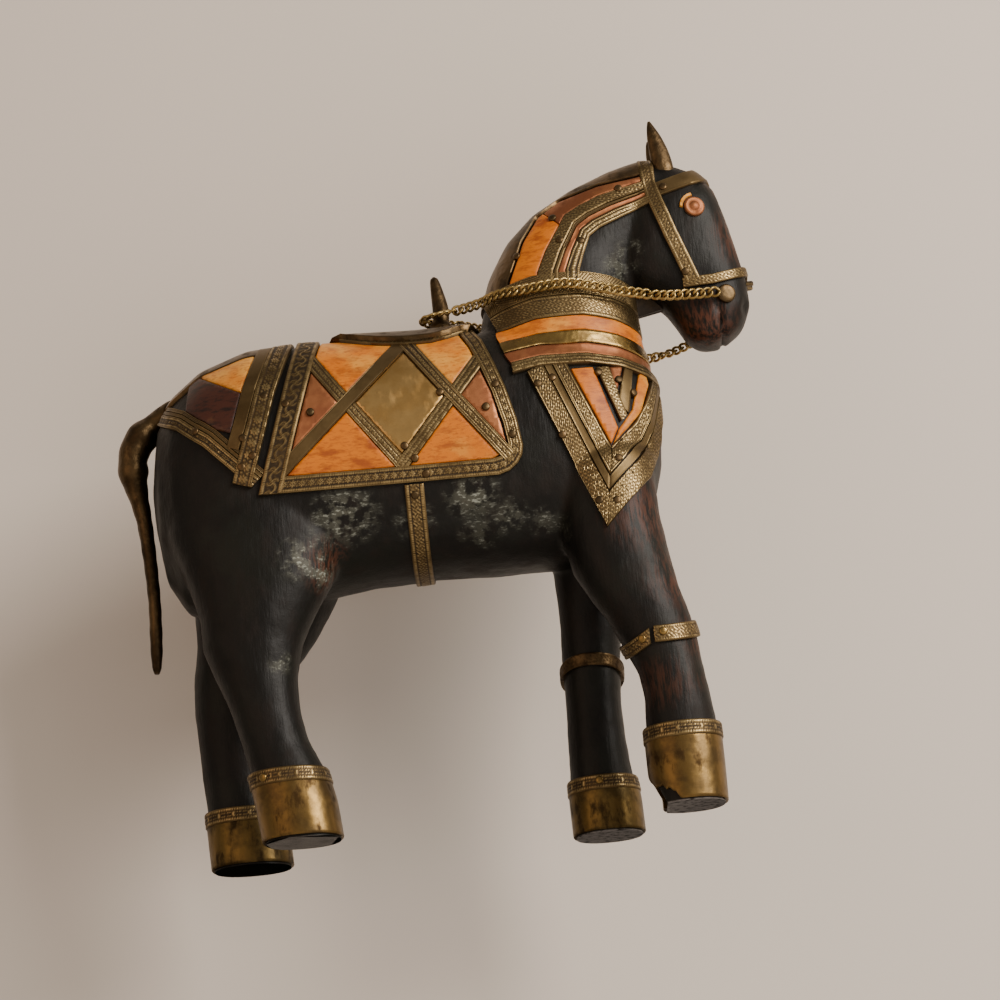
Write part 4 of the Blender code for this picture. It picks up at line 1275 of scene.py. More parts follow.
@dataclass(frozen=True)
class Strip:
    """Lays one strip of metal or bone on the wood between two unrolled edges."""

    wrap: Wrap
    lift: float = 1.3
    relief: float = 0.26
    die: Die = BARE
    tone: float = 0.5

    def lay(self, skin: Skin, first: np.ndarray, second: np.ndarray) -> None:
        """Adds the strip's shell to a skin.

        Args:
            skin: The piece it belongs to.
            first: One edge, as unrolled points.
            second: The other edge, with as many points.
        """
        rows = len(first)
        columns = max(3, math.ceil(float(np.max(np.linalg.norm(second - first, axis=1))) / RAY_STEP) + 1)
        shares = np.linspace(0, 1, columns)
        flat = first[:, None] + (second - first)[:, None] * shares[None, :, None]
        base = np.array([[self.wrap.cast(a, b) for a, b in row] for row in flat])
        middle_ray = self.wrap.ray(*flat[rows // 2, columns // 2])[1]
        self.lay_on(skin, base, np.array(middle_ray))

    def lay_on(self, skin: Skin, base: np.ndarray, outward: np.ndarray) -> None:
        """Adds the shell of a strip whose places on the wood are known.

        Args:
            skin: The piece it belongs to.
            base: The places, in rows along the strip.
            outward: Roughly the direction out of the wood at its middle.
        """
        middle = base[:, base.shape[1] // 2]
        step = PLAIN_STEP if self.die.motif is Motif.PLAIN else PRESS_STEP
        fine = resample(base, even_places(middle, step, 3))
        width = np.linalg.norm(np.diff(fine, axis=1), axis=2).sum(axis=1)
        shares = np.linspace(0, 1, max(5, round(float(width.max()) / step) + 1))
        if step == PLAIN_STEP:
            rim = self.die.rim / float(width.max())
            shares = np.concatenate([[0.0], rim + (1 - 2 * rim) * shares, [1.0]])
        columns = len(shares)
        fine = resample(fine.transpose(1, 0, 2), shares * (base.shape[1] - 1)).transpose(1, 0, 2)
        along, across = np.gradient(fine, axis=0), np.gradient(fine, axis=1)
        normals = np.cross(along, across)
        normals /= np.maximum(np.linalg.norm(normals, axis=2, keepdims=True), 1e-9)
        if normals[len(fine) // 2, columns // 2] @ outward < 0:
            normals = -normals
        spine = fine[:, columns // 2]
        s = np.concatenate([[0.0], np.cumsum(np.linalg.norm(np.diff(spine, axis=0), axis=1))])[:, None]
        t = (shares[None, :] - 0.5) * width[:, None]
        height = self.die.press(s + 0 * t, t + 0 * s, width[:, None] + 0 * t)
        rise = self.lift + self.relief * height
        rise[:, [0, -1]] -= 0.22
        rise[[0, -1]] -= 0.15
        top = fine + normals * rise[..., None]
        foot = fine[:, [0, -1]] - normals[:, [0, -1]] * ROOT
        self.close(skin, top, foot, height)

    def close(self, skin: Skin, top: np.ndarray, foot: np.ndarray, height: np.ndarray) -> None:
        """Closes the strip's top with sides, ends and a floor inside the wood.

        Args:
            skin: The piece it belongs to.
            top: The top's points, in rows along the strip.
            foot: The two points of the floor below each row.
            height: How high each point of the top is pressed.
        """
        rows, columns = top.shape[:2]
        index = np.arange(rows * columns).reshape(rows, columns)
        low = rows * columns + np.arange(rows * 2).reshape(rows, 2)
        corners = [index[:-1, :-1], index[1:, :-1], index[1:, 1:], index[:-1, 1:]]
        grid = np.stack(corners, axis=-1).reshape(-1, 4)
        left = np.stack([index[:-1, 0], low[:-1, 0], low[1:, 0], index[1:, 0]], axis=-1)
        right = np.stack([index[:-1, -1], index[1:, -1], low[1:, 1], low[:-1, 1]], axis=-1)
        floor = np.stack([low[:-1, 0], low[:-1, 1], low[1:, 1], low[1:, 0]], axis=-1)
        ends = [(*index[0], low[0, 1], low[0, 0]), (*index[-1][::-1], low[-1, 0], low[-1, 1])]
        points = np.concatenate([top.reshape(-1, 3), foot.reshape(-1, 3)])
        values = np.concatenate([height.ravel(), np.zeros(rows * 2)])
        faces = [*grid.tolist(), *left.tolist(), *right.tolist(), *floor.tolist(), *ends]
        skin.add(points, faces, relief=values, tone=self.tone)


@dataclass(frozen=True)
class Tile:
    """Lays one plate with softened edges on the wood inside an unrolled outline."""

    wrap: Wrap
    lift: float = 1.15
    bevel: float = 0.55
    drop: float = 0.40
    tone: float = 0.5
    probe: float = 1.2

    def lay(self, skin: Skin, outline: np.ndarray) -> None:
        """Adds the plate's shell to a skin.

        Args:
            skin: The piece it belongs to.
            outline: The plate's unrolled outline, in order.
        """
        rim = [tuple(point) for point in outline]
        if sum(a[0] * b[1] - b[0] * a[1] for a, b in zip(rim, rim[1:] + rim[:1])) < 0:
            rim = rim[::-1]
        field_edge = shrink(rim, self.bevel)
        shell = bmesh.new()
        outer = [shell.verts.new((*point, 0.0)) for point in rim]
        inner = [shell.verts.new((*point, 1.0)) for point in field_edge]
        shell.faces.new(inner)
        for index in range(len(rim)):
            after = (index + 1) % len(rim)
            shell.faces.new((outer[index], outer[after], inner[after], inner[index]))
        for axis in (0, 1):
            low, high = np.min(rim, axis=0)[axis], np.max(rim, axis=0)[axis]
            for place in np.arange(low + TILE_STEP * 0.5, high, TILE_STEP):
                everything = shell.verts[:] + shell.edges[:] + shell.faces[:]
                plane, normal = Vector(), Vector()
                plane[axis], normal[axis] = place, 1.0
                bmesh.ops.bisect_plane(shell, geom=everything, plane_co=plane, plane_no=normal)
        edges = [edge for edge in shell.edges if edge.is_boundary]
        walls = bmesh.ops.extrude_edge_only(shell, edges=edges)["geom"]
        for corner in walls:
            if isinstance(corner, bmesh.types.BMVert):
                corner.co.z = -1.0
        bmesh.ops.holes_fill(shell, edges=[edge for edge in shell.edges if edge.is_boundary])
        shell.verts.index_update()
        points = np.array([self.place(*corner.co) for corner in shell.verts])
        faces = [[corner.index for corner in face.verts] for face in shell.faces]
        shell.free()
        skin.add(points, faces, relief=0.5, tone=self.tone)

    def place(self, a: float, b: float, level: float) -> np.ndarray:
        """Finds the place of one corner of the plate.

        Args:
            a: Its first unrolled coordinate.
            b: The second.
            level: 1 on the face, 0 at the face's edge and -1 in the wood.

        Returns:
            The place.
        """
        here = self.wrap.cast(a, b)
        along = self.wrap.cast(a + self.probe, b) - self.wrap.cast(a - self.probe, b)
        across = self.wrap.cast(a, b + self.probe) - self.wrap.cast(a, b - self.probe)
        normal = along.cross(across).normalized()
        if normal.dot(self.wrap.ray(a, b)[1]) < 0:
            normal = -normal
        rise = -ROOT if level < 0 else self.lift - self.drop * (1 - level) ** 2
        return np.array(here + normal * rise)


SIDES = {"right": -1, "left": 1}


@dataclass
class Dressing:
    """What every piece of trapping shares: the wood that it is laid on and the plane that it is drawn on."""

    wood: Wood
    least_step: float = 0.7

    def strip(
        self, skin: Skin, wrap: Wrap, plane: float, side: int, edges: tuple[Line, Line], **looks: object
    ) -> None:
        """Lays a strip between two edges of the side view.

        Args:
            skin: The piece it belongs to.
            wrap: How the wood is unrolled there.
            plane: The distance from the middle at which the drawing is true.
            side: -1 on the horse's right, 1 on its left.
            edges: The strip's two edges, with as many points each.
            **looks: The Strip's own settings.
        """
        first, second = (wrap.flatten(edge, plane, side) for edge in matched(*edges))
        Strip(wrap, **looks).lay(skin, first, second)

    def strap(self, line: Line, width: float, ends: float = 0.0) -> tuple[list[Point], list[Point]]:
        """Finds the two edges of a strap of one width along a line.

        Args:
            line: The strap's middle line.
            width: Its width.
            ends: How much longer it is at each end.

        Returns:
            The edge on the line's left, and the one on its right.
        """
        line = [tuple(point) for point in line]
        for end, inner in ((0, 1), (-1, -2)):
            run = Vector(np.subtract(line[end], line[inner])).normalized()
            line[end] = (line[end][0] + run.x * ends, line[end][1] + run.y * ends)
        return beside(line, width / 2), beside(line, -width / 2)

    def tile(
        self, skin: Skin, wrap: Wrap, plane: float, side: int, outline: Line, **looks: object
    ) -> None:
        """Lays a plate inside an outline of the side view.

        Args:
            skin: The piece it belongs to.
            wrap: How the wood is unrolled there.
            plane: The distance from the middle at which the drawing is true.
            side: -1 on the horse's right, 1 on its left.
            outline: The plate's corners, in order.
            **looks: The Tile's own settings.
        """
        closed = [*outline, outline[0]]
        counts = [max(1, math.ceil(math.dist(*pair) / 3.0)) for pair in zip(closed, closed[1:])]
        edge = between(closed, counts)[:-1]
        found = []
        for point in edge:
            place = self.wood.side_point(point, plane, side) or self.wood.nearest_middle(point, plane)
            unrolled = wrap.unroll(place)
            if all(math.dist(unrolled, other) > self.least_step for other in found):
                found.append(unrolled)
        Tile(wrap, **looks).lay(skin, np.array(found))


@dataclass
class Saddle(Dressing):
    """The saddle cloth: brass borders and lattice round a brass diamond, four bone and two copper plates."""

    plane: float = 35.0
    outline: tuple = (
        (-49.5, 129.6), (40.5, 129.0), (47.5, 132.5), (50.6, 139.5), (46.0, 163.0), (38.8, 182.5),
        (28.0, 200.0), (-28.5, 200.0),
    )
    tiles_top: float = 190.0
    seat_plane: float = 30.0
    seat_edge: tuple = (
        (-21.5, 190.4), (-14.0, 188.4), (-7.9, 187.0), (0.0, 185.6), (8.7, 184.7), (19.4, 184.8),
        (26.0, 186.0), (32.3, 187.6), (36.8, 189.6),
    )
    strap_width: float = 5.0
    borders: tuple = (6.6, 6.6, 5.6, 5.6, 5.6, 5.6, 0.0, 8.4)
    top: Point = (9.0, 184.5)
    foot: Point = (5.0, 136.6)
    rear_foot: Point = (-40.0, 138.2)
    front_foot: Point = (44.2, 137.2)
    rear_top: Point = (-29.5, 184.0)
    front_top: Point = (38.5, 177.0)
    border_outer: tuple = (
        (-49.5, 129.6), (40.5, 129.0), (44.8, 130.3), (48.0, 132.9), (49.9, 136.0), (50.6, 139.5),
        (49.2, 150.0), (46.0, 163.0), (42.6, 173.0), (38.8, 182.5), (34.5, 188.2),
    )
    border_inner: tuple = (
        (-47.4, 136.2), (38.6, 135.6), (41.4, 136.2), (43.4, 137.4), (44.6, 139.0), (45.0, 140.8),
        (43.8, 149.0), (40.7, 161.4), (37.4, 170.9), (33.7, 180.1), (29.8, 187.0),
    )
    rear_outer: tuple = ((-49.5, 129.6), (-32.4, 187.0), (-32.4, 200.0))
    rear_inner: tuple = ((-40.8, 129.8), (-23.7, 187.0), (-23.7, 200.0))
    fit: float = 0.15

    def tiles(self) -> dict[str, list[Point]]:
        """Cuts the plates' outlines out of the field between the straps.

        Returns:
            Each plate's outline, by name.
        """
        inner = list(self.outline)
        for edge, border in zip(zip(inner[:], [*inner[1:], inner[0]]), self.borders):
            inner = keep_left(inner, edge, border)
        field_area = keep_right(inner, ((-40.0, self.tiles_top), (45.0, self.tiles_top)))
        half = self.strap_width / 2 - 0.1
        rear_rising, front_falling = (self.rear_foot, self.top), (self.top, self.front_foot)
        rear_falling, front_rising = (self.rear_top, self.foot), (self.foot, self.front_top)
        above_rear = keep_left(field_area, rear_rising, half)
        below_rear = keep_right(field_area, rear_rising, half)
        above_front = keep_left(field_area, front_falling, half)
        below_front = keep_right(field_area, front_falling, half)
        diamond = keep_left(keep_right(below_rear, front_falling, half), rear_falling, half)
        return {
            "saddle_diamond": keep_left(diamond, front_rising, half),
            "saddle_bone_rear_top": keep_left(above_rear, rear_falling, half),
            "saddle_copper_rear": keep_right(above_rear, rear_falling, half),
            "saddle_bone_rear_foot": keep_right(below_rear, rear_falling, half),
            "saddle_bone_front_top": keep_left(above_front, front_rising, half),
            "saddle_copper_front": keep_right(above_front, front_rising, half),
            "saddle_bone_front_foot": keep_right(below_front, front_rising, half),
        }

    def build(self) -> None:
        """Makes the plates, the straps and the seat."""
        wrap = Wrap(self.wood, Core.SPINE, z=150.0)
        finishes = {"bone": BONE, "copper": COPPER, "diamond": POLISHED}
        tones = {"rear_top": 0.45, "front_top": 0.30, "rear_foot": 0.75, "front_foot": 0.60}
        for side_name, side in SIDES.items():
            for name, outline in self.tiles().items():
                skin = Skin()
                kind = name.split("_")[1]
                tone = next((value for key, value in tones.items() if key in name), 0.5)
                self.tile(skin, wrap, self.plane, side, shrink(outline, self.fit), tone=tone)
                skin.build(f"{name}_plate_{side_name}", finishes[kind], f"{name}_{side_name}")
            self.straps(wrap, side_name, side)
        self.seat(wrap)

    def straps(self, wrap: Wrap, side_name: str, side: int) -> None:
        """Lays the border and the lattice of one side.

        Args:
            wrap: How the wood is unrolled there.
            side_name: The side's name, for the pieces.
            side: -1 on the horse's right, 1 on its left.
        """
        skin = Skin()
        lattice = (
            ((self.rear_top, self.foot), VINE, 1.25), ((self.foot, self.front_top), VINE, 1.35),
            ((self.rear_foot, self.top), BARE, 1.60), ((self.top, self.front_foot), VINE, 1.65),
        )
        for line, die, lift in lattice:
            edges = self.strap(line, self.strap_width, 1.5)
            self.strip(skin, wrap, self.plane, side, edges, die=die, lift=lift)
        border = (self.border_outer, self.border_inner)
        self.strip(skin, wrap, self.plane, side, border, die=FLOWERS, lift=1.5)
        rear = (self.rear_outer, self.rear_inner)
        self.strip(skin, wrap, self.plane, side, rear, die=VINE, lift=1.75)
        skin.build(f"saddle_straps_{side_name}", PRESSED, f"saddle_frame_{side_name}")

    def seat(self, wrap: Wrap) -> None:
        """Lays the seat over the back: a pressed plate, and a smaller plain one on it.

        Args:
            wrap: How the wood is unrolled there.
        """
        line = between(self.seat_edge, [4] * (len(self.seat_edge) - 1))
        for name, inset, lift, die, finish, nodes in (
            ("saddle_seat_base", 0.0, 2.3, WORMS, PRESSED, ()),
            ("saddle_seat_plate", 1.4, 4.3, BARE, AGED, ("saddle_seat",)),
        ):
            skin = Skin()
            kept = line[2:-2] if inset else line
            edges = [wrap.flatten(kept, self.seat_plane, side) - (0, side * inset) for side in SIDES.values()]
            Strip(wrap, lift=lift, die=die).lay(skin, *edges)
            skin.build(name, finish, *nodes)


@dataclass
class Croup(Dressing):
    """The rump cloth: brass straps round a light and a dark bone plate on each side."""

    plane: float = 33.0
    low_edge: tuple = ((-87.5, 161.8), (-79.5, 159.0), (-69.4, 151.6), (-51.8, 133.6))
    front_edge: tuple = ((-51.8, 133.6), (-45.2, 155.0), (-40.8, 169.8), (-34.4, 187.0), (-34.4, 200.0))
    low_width: float = 8.2
    pressed_width: float = 7.4
    plain_width: float = 4.9
    top_reach: float = 21.0
    split: tuple = ((-76.0, 182.0), (-50.0, 169.5))
    tiles_foot: Point = (-58.0, 155.5)
    tiles_top: float = 193.0
    tiles_rear_top: Point = (-73.0, 193.0)

    def build(self) -> None:
        """Makes the plates and straps of both sides, and the strip along the back."""
        wrap = Wrap(self.wood, Core.SPINE, z=150.0)
        for side_name, side in SIDES.items():
            low_top = beside(self.low_edge, self.low_width)
            rear_line = beside(self.front_edge, self.pressed_width + self.plain_width + 0.2)
            front_top = (rear_line[3][0], self.tiles_top)
            tiles_area = [*low_top[1:3], self.tiles_foot, *rear_line[2:4], front_top, self.tiles_rear_top]
            for name, finish, keep, tone in (
                ("croup_bone", BONE, keep_left, 0.25), ("croup_tile", DARK_BONE, keep_right, 0.7),
            ):
                skin = Skin()
                outline = shrink(keep(tiles_area, self.split), 0.15)
                self.tile(skin, wrap, self.plane, side, outline, tone=tone)
                skin.build(f"{name}_plate_{side_name}", finish, f"{name}_{side_name}")
            skin = Skin()
            for start, end, die, lift in (
                (0.0, 4.8, FLOWERS, 1.45), (4.9, 6.5, BARE, 1.3), (6.6, self.low_width, BARE, 1.2),
            ):
                edges = (beside(self.low_edge, start), beside(self.low_edge, end))
                self.strip(skin, wrap, self.plane, side, edges, die=die, lift=lift)
            pressed = (self.front_edge, beside(self.front_edge, self.pressed_width))
            self.strip(skin, wrap, self.plane, side, pressed, die=FLOWERS, lift=1.65)
            foot = [(-48.4, 146.0), *self.front_edge[1:]]
            distances = (self.pressed_width + 0.1, self.pressed_width + self.plain_width)
            plain = tuple(beside(foot, distance) for distance in distances)
            self.strip(skin, wrap, self.plane, side, plain, die=BARE, lift=1.5)
            skin.build(f"croup_straps_{side_name}", PRESSED, f"croup_frame_{side_name}")
        skin = Skin()
        xs = np.linspace(-84.0, -46.0, 30)
        edges = [np.array([(x, offset) for x in xs]) for offset in (-self.top_reach, self.top_reach)]
        Strip(wrap, lift=1.4, die=BARE).lay(skin, *edges)
        skin.build("croup_top_sheet", AGED)


@dataclass
class Collar(Dressing):
    """Six bands round the neck, from the top: two of pressed brass, then bone, brass, copper and brass."""

    middle: Point = (72.0, 0.0)
    heights: tuple = (10.0, 9.2, 6.4, 5.6, 5.4, 4.6)
    names: tuple = ("top", "second", "bone", "brass", "copper", "lower")
    line: tuple = ((30.0, 204.0), (47.0, 209.3), (60.0, 212.0), (78.0, 212.4), (90.0, 210.8), (108.0, 206.0))
    rear: tuple = ((41.2, 212.0), (51.2, 163.0))
    bands: tuple = (
        (PRESSED, HATCHED, 1.35), (PRESSED, WORMS_BEADED, 1.45), (BONE, BARE, 1.15), (PLAIN, BARE, 1.5),
        (COPPER, BARE, 1.15), (PRESSED, VINE, 2.0),
    )

    def level(self, wrap: Wrap, a: float, depth: float) -> float:
        """Finds the height of a line that runs below the collar's top edge.

        Args:
            wrap: How the wood is unrolled there.
            a: Where round the neck.
            depth: How far below the edge it runs.

        Returns:
            The height there.
        """
        z = self.line[2][1] - depth
        for _ in range(4):
            x = wrap.cast(a, z).x
            z = float(np.interp(x, *zip(*self.line))) - depth
        return z

    def edge(self, wrap: Wrap, depth: float) -> np.ndarray:
        """Finds one edge of a band, from where it leaves the collar's rear line round to it again.

        Args:
            wrap: How the wood is unrolled there.
            depth: How far below the collar's top edge it runs.

        Returns:
            The unrolled edge.
        """
        reach = math.pi * wrap.radius
        for a in np.linspace(0, reach, 121):
            place = wrap.cast(a, self.level(wrap, a, depth))
            if distance_inside((place.x, place.z), *self.rear[::-1]) > 0:
                reach = a
                break
        return np.array([(a, self.level(wrap, a, depth)) for a in np.linspace(-reach, reach, 121)])

    def build(self) -> None:
        """Makes the six bands."""
        wrap = Wrap(self.wood, Core.POST, x=self.middle[0], radius=26.0)
        depth = 0.0
        for name, height, (finish, die, lift) in zip(self.names, self.heights, self.bands):
            top, foot = (self.edge(wrap, depth + offset) for offset in (0.1, height - 0.1))
            skin = Skin()
            Strip(wrap, lift=lift, die=die, tone=0.5).lay(skin, top, foot)
            skin.build(f"collar_band_{name}", finish, f"collar_{name}")
            depth += height


@dataclass
class Chest(Dressing):
    """The breast cloth: brass bands in a V on each side, two bone strips, and a brass and copper inlay."""

    plane: float = 30.0
    rear_top: Point = (54.6, 169.6)
    apex: Point = (78.8, 106.4)
    field_foot: Point = (83.2, 136.6)
    edge: tuple = ((78.8, 106.4), (87.6, 115.6), (95.9, 123.6), (100.0, 132.6), (104.5, 150.0))
    field_edge: tuple = ((83.2, 136.6), (88.4, 141.8), (93.2, 146.7), (97.4, 153.0), (102.5, 166.0))
    widths: tuple = (0.0, 0.44, 0.46, 0.64, 0.66, 1.0)
    bands: tuple = ((WORMS, 1.5), (BARE, 1.35), (WORMS_BEADED, 1.45))
    inlay: tuple = (((80.6, 169.0), (87.9, 147.0)), ((85.6, 169.0), (90.4, 149.2)))
    inner: tuple = (((91.2, 168.4), (87.3, 154.5)), ((94.7, 168.4), (91.0, 149.8)))
    rear_bone: tuple = ((71.2, 169.4), (83.4, 138.4), (86.6, 144.6), (79.4, 169.4))
    front_bone: tuple = (
        (84.2, 138.3), (95.8, 149.8), (99.8, 160.6), (98.8, 168.6), (97.0, 165.6), (92.6, 151.2),
        (86.8, 143.9),
    )
    copper: tuple = ((85.8, 168.8), (86.8, 156.0), (90.8, 168.8))

    def build(self) -> None:
        """Makes both sides."""
        wrap = Wrap(self.wood, Core.POST, x=60.0, radius=36.0)
        run = Vector(np.subtract(self.rear_top, self.apex)).normalized()
        out = Vector((run.y, -run.x))
        total = distance_inside(self.field_foot, self.rear_top, self.apex)
        for side_name, side in SIDES.items():
            skin = Skin()
            for index, (die, lift) in enumerate(self.bands):
                shares = self.widths[2 * index:2 * index + 2]
                feet = [tuple(Vector(self.apex).lerp(Vector(self.field_foot), share)) for share in shares]
                tops = [tuple(Vector(self.rear_top) + out * total * share) for share in shares]
                self.strip(skin, wrap, self.plane, side, tuple(zip(feet, tops)), die=die, lift=lift)
                lines = tuple(blend_lines(self.edge, self.field_edge, share) for share in shares)
                self.strip(skin, wrap, self.plane, side, lines, die=die, lift=lift + 0.1)
            self.strip(skin, wrap, self.plane, side, self.inlay, die=WORMS, lift=1.3)
            self.strip(skin, wrap, self.plane, side, self.inner, die=BARE, lift=1.25)
            skin.build(f"chest_bands_{side_name}", PRESSED, f"chest_frame_{side_name}")
            self.plates(wrap, side_name, side)

    def plates(self, wrap: Wrap, side_name: str, side: int) -> None:
        """Lays the bone strips and the copper triangle of one side.

        Args:
            wrap: How the wood is unrolled there.
            side_name: The side's name, for the pieces.
            side: -1 on the horse's right, 1 on its left.
        """
        for name, outline, finish, tone, nodes in (
            ("chest_rear_bone", self.rear_bone, BONE, 0.7, (f"chest_bone_rear_{side_name}",)),
            ("chest_front_bone", self.front_bone, BONE, 0.35, (f"chest_bone_front_{side_name}",)),
            ("chest_copper", self.copper, COPPER, 0.5, ()),
        ):
            skin = Skin()
            self.tile(skin, wrap, self.plane, side, outline, tone=tone, bevel=0.4)
            skin.build(f"{name}_{side_name}", finish, *nodes)


@dataclass
class Mane(Dressing):
    """The mane: a brass crest, and on each side a bone and a copper panel inside brass borders."""

    plane: float = 15.0
    crest: tuple = (
        (51.0, 206.0), (51.4, 212.3), (58.3, 228.7), (65.1, 238.6), (74.2, 244.6), (89.3, 249.4),
        (106.5, 252.2),
    )
    edge: tuple = ((62.5, 206.0), (62.9, 214.9), (66.9, 223.7), (75.7, 238.0), (88.9, 244.6), (107.2, 249.4))
    inner: tuple = ((78.0, 206.0), (78.9, 214.9), (84.1, 228.2), (88.3, 231.4), (98.0, 235.6), (109.8, 240.2))
    split: tuple = ((64.5, 243.0), (73.6, 233.8))
    borders: tuple = ((0.0, 0.36, WORMS, 1.4), (0.38, 0.48, BARE, 1.5), (0.66, 1.0, BEADED_VINE, 1.5))

    def build(self) -> None:
        """Makes the crest and both sides."""
        wrap = Wrap(self.wood, Core.CREST, x=105.0, z=200.0, radius=18.0, inner=45.0)
        skin = Skin()
        right = wrap.flatten(between(self.crest, [5] * 6), self.plane, -1)
        left = right * (1, -1)
        Strip(wrap, lift=1.35, die=BARE).lay(skin, right, left)
        skin.build("crest_sheet", AGED, "crest_strip")
        for side_name, side in SIDES.items():
            panel = [*beside(self.edge, 0.15), *reversed(beside(self.crest, -0.7))]
            for name, finish, keep, tone in (
                ("mane_bone", BONE, keep_right, 0.8), ("mane_copper", COPPER, keep_left, 0.5),
            ):
                skin = Skin()
                outline = keep(panel[::-1], self.split, 0.15)[::-1]
                self.tile(skin, wrap, self.plane, side, outline, tone=tone, bevel=0.4)
                skin.build(f"{name}_panel_{side_name}", finish, f"{name}_{side_name}")
            self.border(wrap, side_name, side)

    def border(self, wrap: Wrap, side_name: str, side: int) -> None:
        """Lays the border's strips and the thin copper strip among them.

        Args:
            wrap: How the wood is unrolled there.
            side_name: The side's name, for the pieces.
            side: -1 on the horse's right, 1 on its left.
        """
        outer = [*self.edge[:4], (81.5, 241.4), *self.edge[4:]]
        inner = [*self.inner[:2], (81.2, 221.3), *self.inner[2:]]
        skin = Skin()
        for start, end, die, lift in self.borders:
            edges = tuple(blend_lines(outer, inner, share) for share in (start, end))
            self.strip(skin, wrap, self.plane, side, edges, die=die, lift=lift)
        skin.build(f"mane_straps_{side_name}", PRESSED, f"mane_border_{side_name}")
        skin = Skin()
        edges = tuple(blend_lines(outer, inner, share) for share in (0.49, 0.65))
        self.strip(skin, wrap, self.plane, side, edges, die=BARE, lift=1.2)
        skin.build(f"mane_copper_strip_{side_name}", COPPER)


@dataclass
class Bridle(Dressing):
    """The bridle's straps, and the eye and bit discs."""

    plane: float = 14.5
    cheek: tuple = (
        (122.6, 206.6), (121.6, 209.5), (115.6, 226.7), (111.0, 242.4), (109.4, 248.6), (108.8, 259.0),
        (108.8, 268.0),
    )
    brow: tuple = ((112.0, 245.4), (124.0, 248.8), (131.0, 250.4), (137.0, 251.4))
    nose: tuple = ((118.6, 206.2), (130.0, 206.6), (141.0, 208.4), (147.5, 209.5))
    strap_width: float = 5.6
    nose_width: float = 4.0
    eye: Point = (126.1, 237.2)
    bit: Point = (134.6, 200.1)
    eye_profile: tuple = (
        (0.0, 1.9), (1.3, 1.8), (1.9, 1.25), (2.2, 1.05), (3.2, 1.25), (3.8, 1.1), (4.1, 0.6), (4.1, -1.5),
    )
    bit_profile: tuple = ((0.0, 1.9), (1.8, 1.87), (2.9, 1.75), (3.5, 1.5), (3.7, 1.1), (3.7, -1.5))
    shim_radius: float = 5.3
    shim_hollow: float = 4.6

    def build(self) -> None:
        """Makes the straps in one piece, and a disc for each eye and bit."""
        skin = Skin()
        over = Wrap(self.wood, Core.SPINE, z=244.0, radius=15.0)
        round_brow = Wrap(self.wood, Core.SPINE, z=236.0, radius=14.0)
        round_nose = Wrap(self.wood, Core.POST, x=128.0, radius=13.0)
        for side in SIDES.values():
            for wrap, line, width, die, lift in (
                (round_brow, self.brow, self.strap_width, BARE, 1.3),
                (round_nose, self.nose, self.nose_width, WORMS, 1.4),
                (over, self.cheek, self.strap_width, WORMS_BEADED, 1.55),
            ):
                self.strip(skin, wrap, self.plane, side, self.strap(line, width), die=die, lift=lift)
        skin.build("bridle_straps", PRESSED, "headstall")
        for side_name, side in SIDES.items():
            for name, centre, profile, finish, node in (
                ("eye_disc", self.eye, self.eye_profile, COPPER, "eye"),
                ("bit_disc", self.bit, self.bit_profile, AGED, "bit_boss"),
            ):
                skin = Skin()
                add_turned(skin, self.wood, self.wood.side_point(centre, self.plane, side), profile)
                skin.build(f"{name}_{side_name}", finish, f"{node}_{side_name}")
            skin = Skin()
            self.tile(skin, over, self.plane, side, self.shim(), lift=1.0, bevel=0.2, tone=0.0)
            skin.build(f"eye_shim_{side_name}", BONE)

    def shim(self) -> list[Point]:
        """Outlines the thin bone crescent that is wedged in behind the eye disc.

        Returns:
            The outline.
        """
        turns = [math.radians(angle) for angle in range(95, 181, 17)]
        x, z = self.eye
        far, close = self.shim_radius, self.shim_hollow
        outer = [(x - 0.4 + far * math.cos(turn), z + 0.5 + far * math.sin(turn)) for turn in turns]
        inner = [(x + close * math.cos(turn), z + close * math.sin(turn)) for turn in turns]
        return outer + inner[::-1]


def add_turned(skin: Skin, wood: Wood, place: Vector, profile: Line, around: int = 32) -> None:
    """Adds a round disc or tack head that stands on the wood.

    Args:
        skin: The piece it belongs to.
        wood: The carving.
        place: The disc's middle, on the wood.
        profile: Radius and height from its middle outwards and down.
        around: How many points go round it.
    """
    normal = wood.outward(place)
    turn = normal.to_track_quat("Z", "Y").to_matrix()
    angles = np.linspace(0, 2 * math.pi, around, endpoint=False)
    rings = [
        (radius * math.cos(angle), radius * math.sin(angle), height)
        for radius, height in profile[1:] for angle in angles
    ]
    count = len(profile) - 1
    points = [place + turn @ Vector(point) for point in rings]
    points.append(place + normal * profile[0][1])
    tip = len(points) - 1
    faces = loft_faces(count, around)[:-2]
    faces += [(tip, step, (step + 1) % around) for step in range(around)]
    faces.append(tuple(range((count - 1) * around, count * around)))
    skin.add(np.array(points), faces, relief=0.7, tone=0.5)


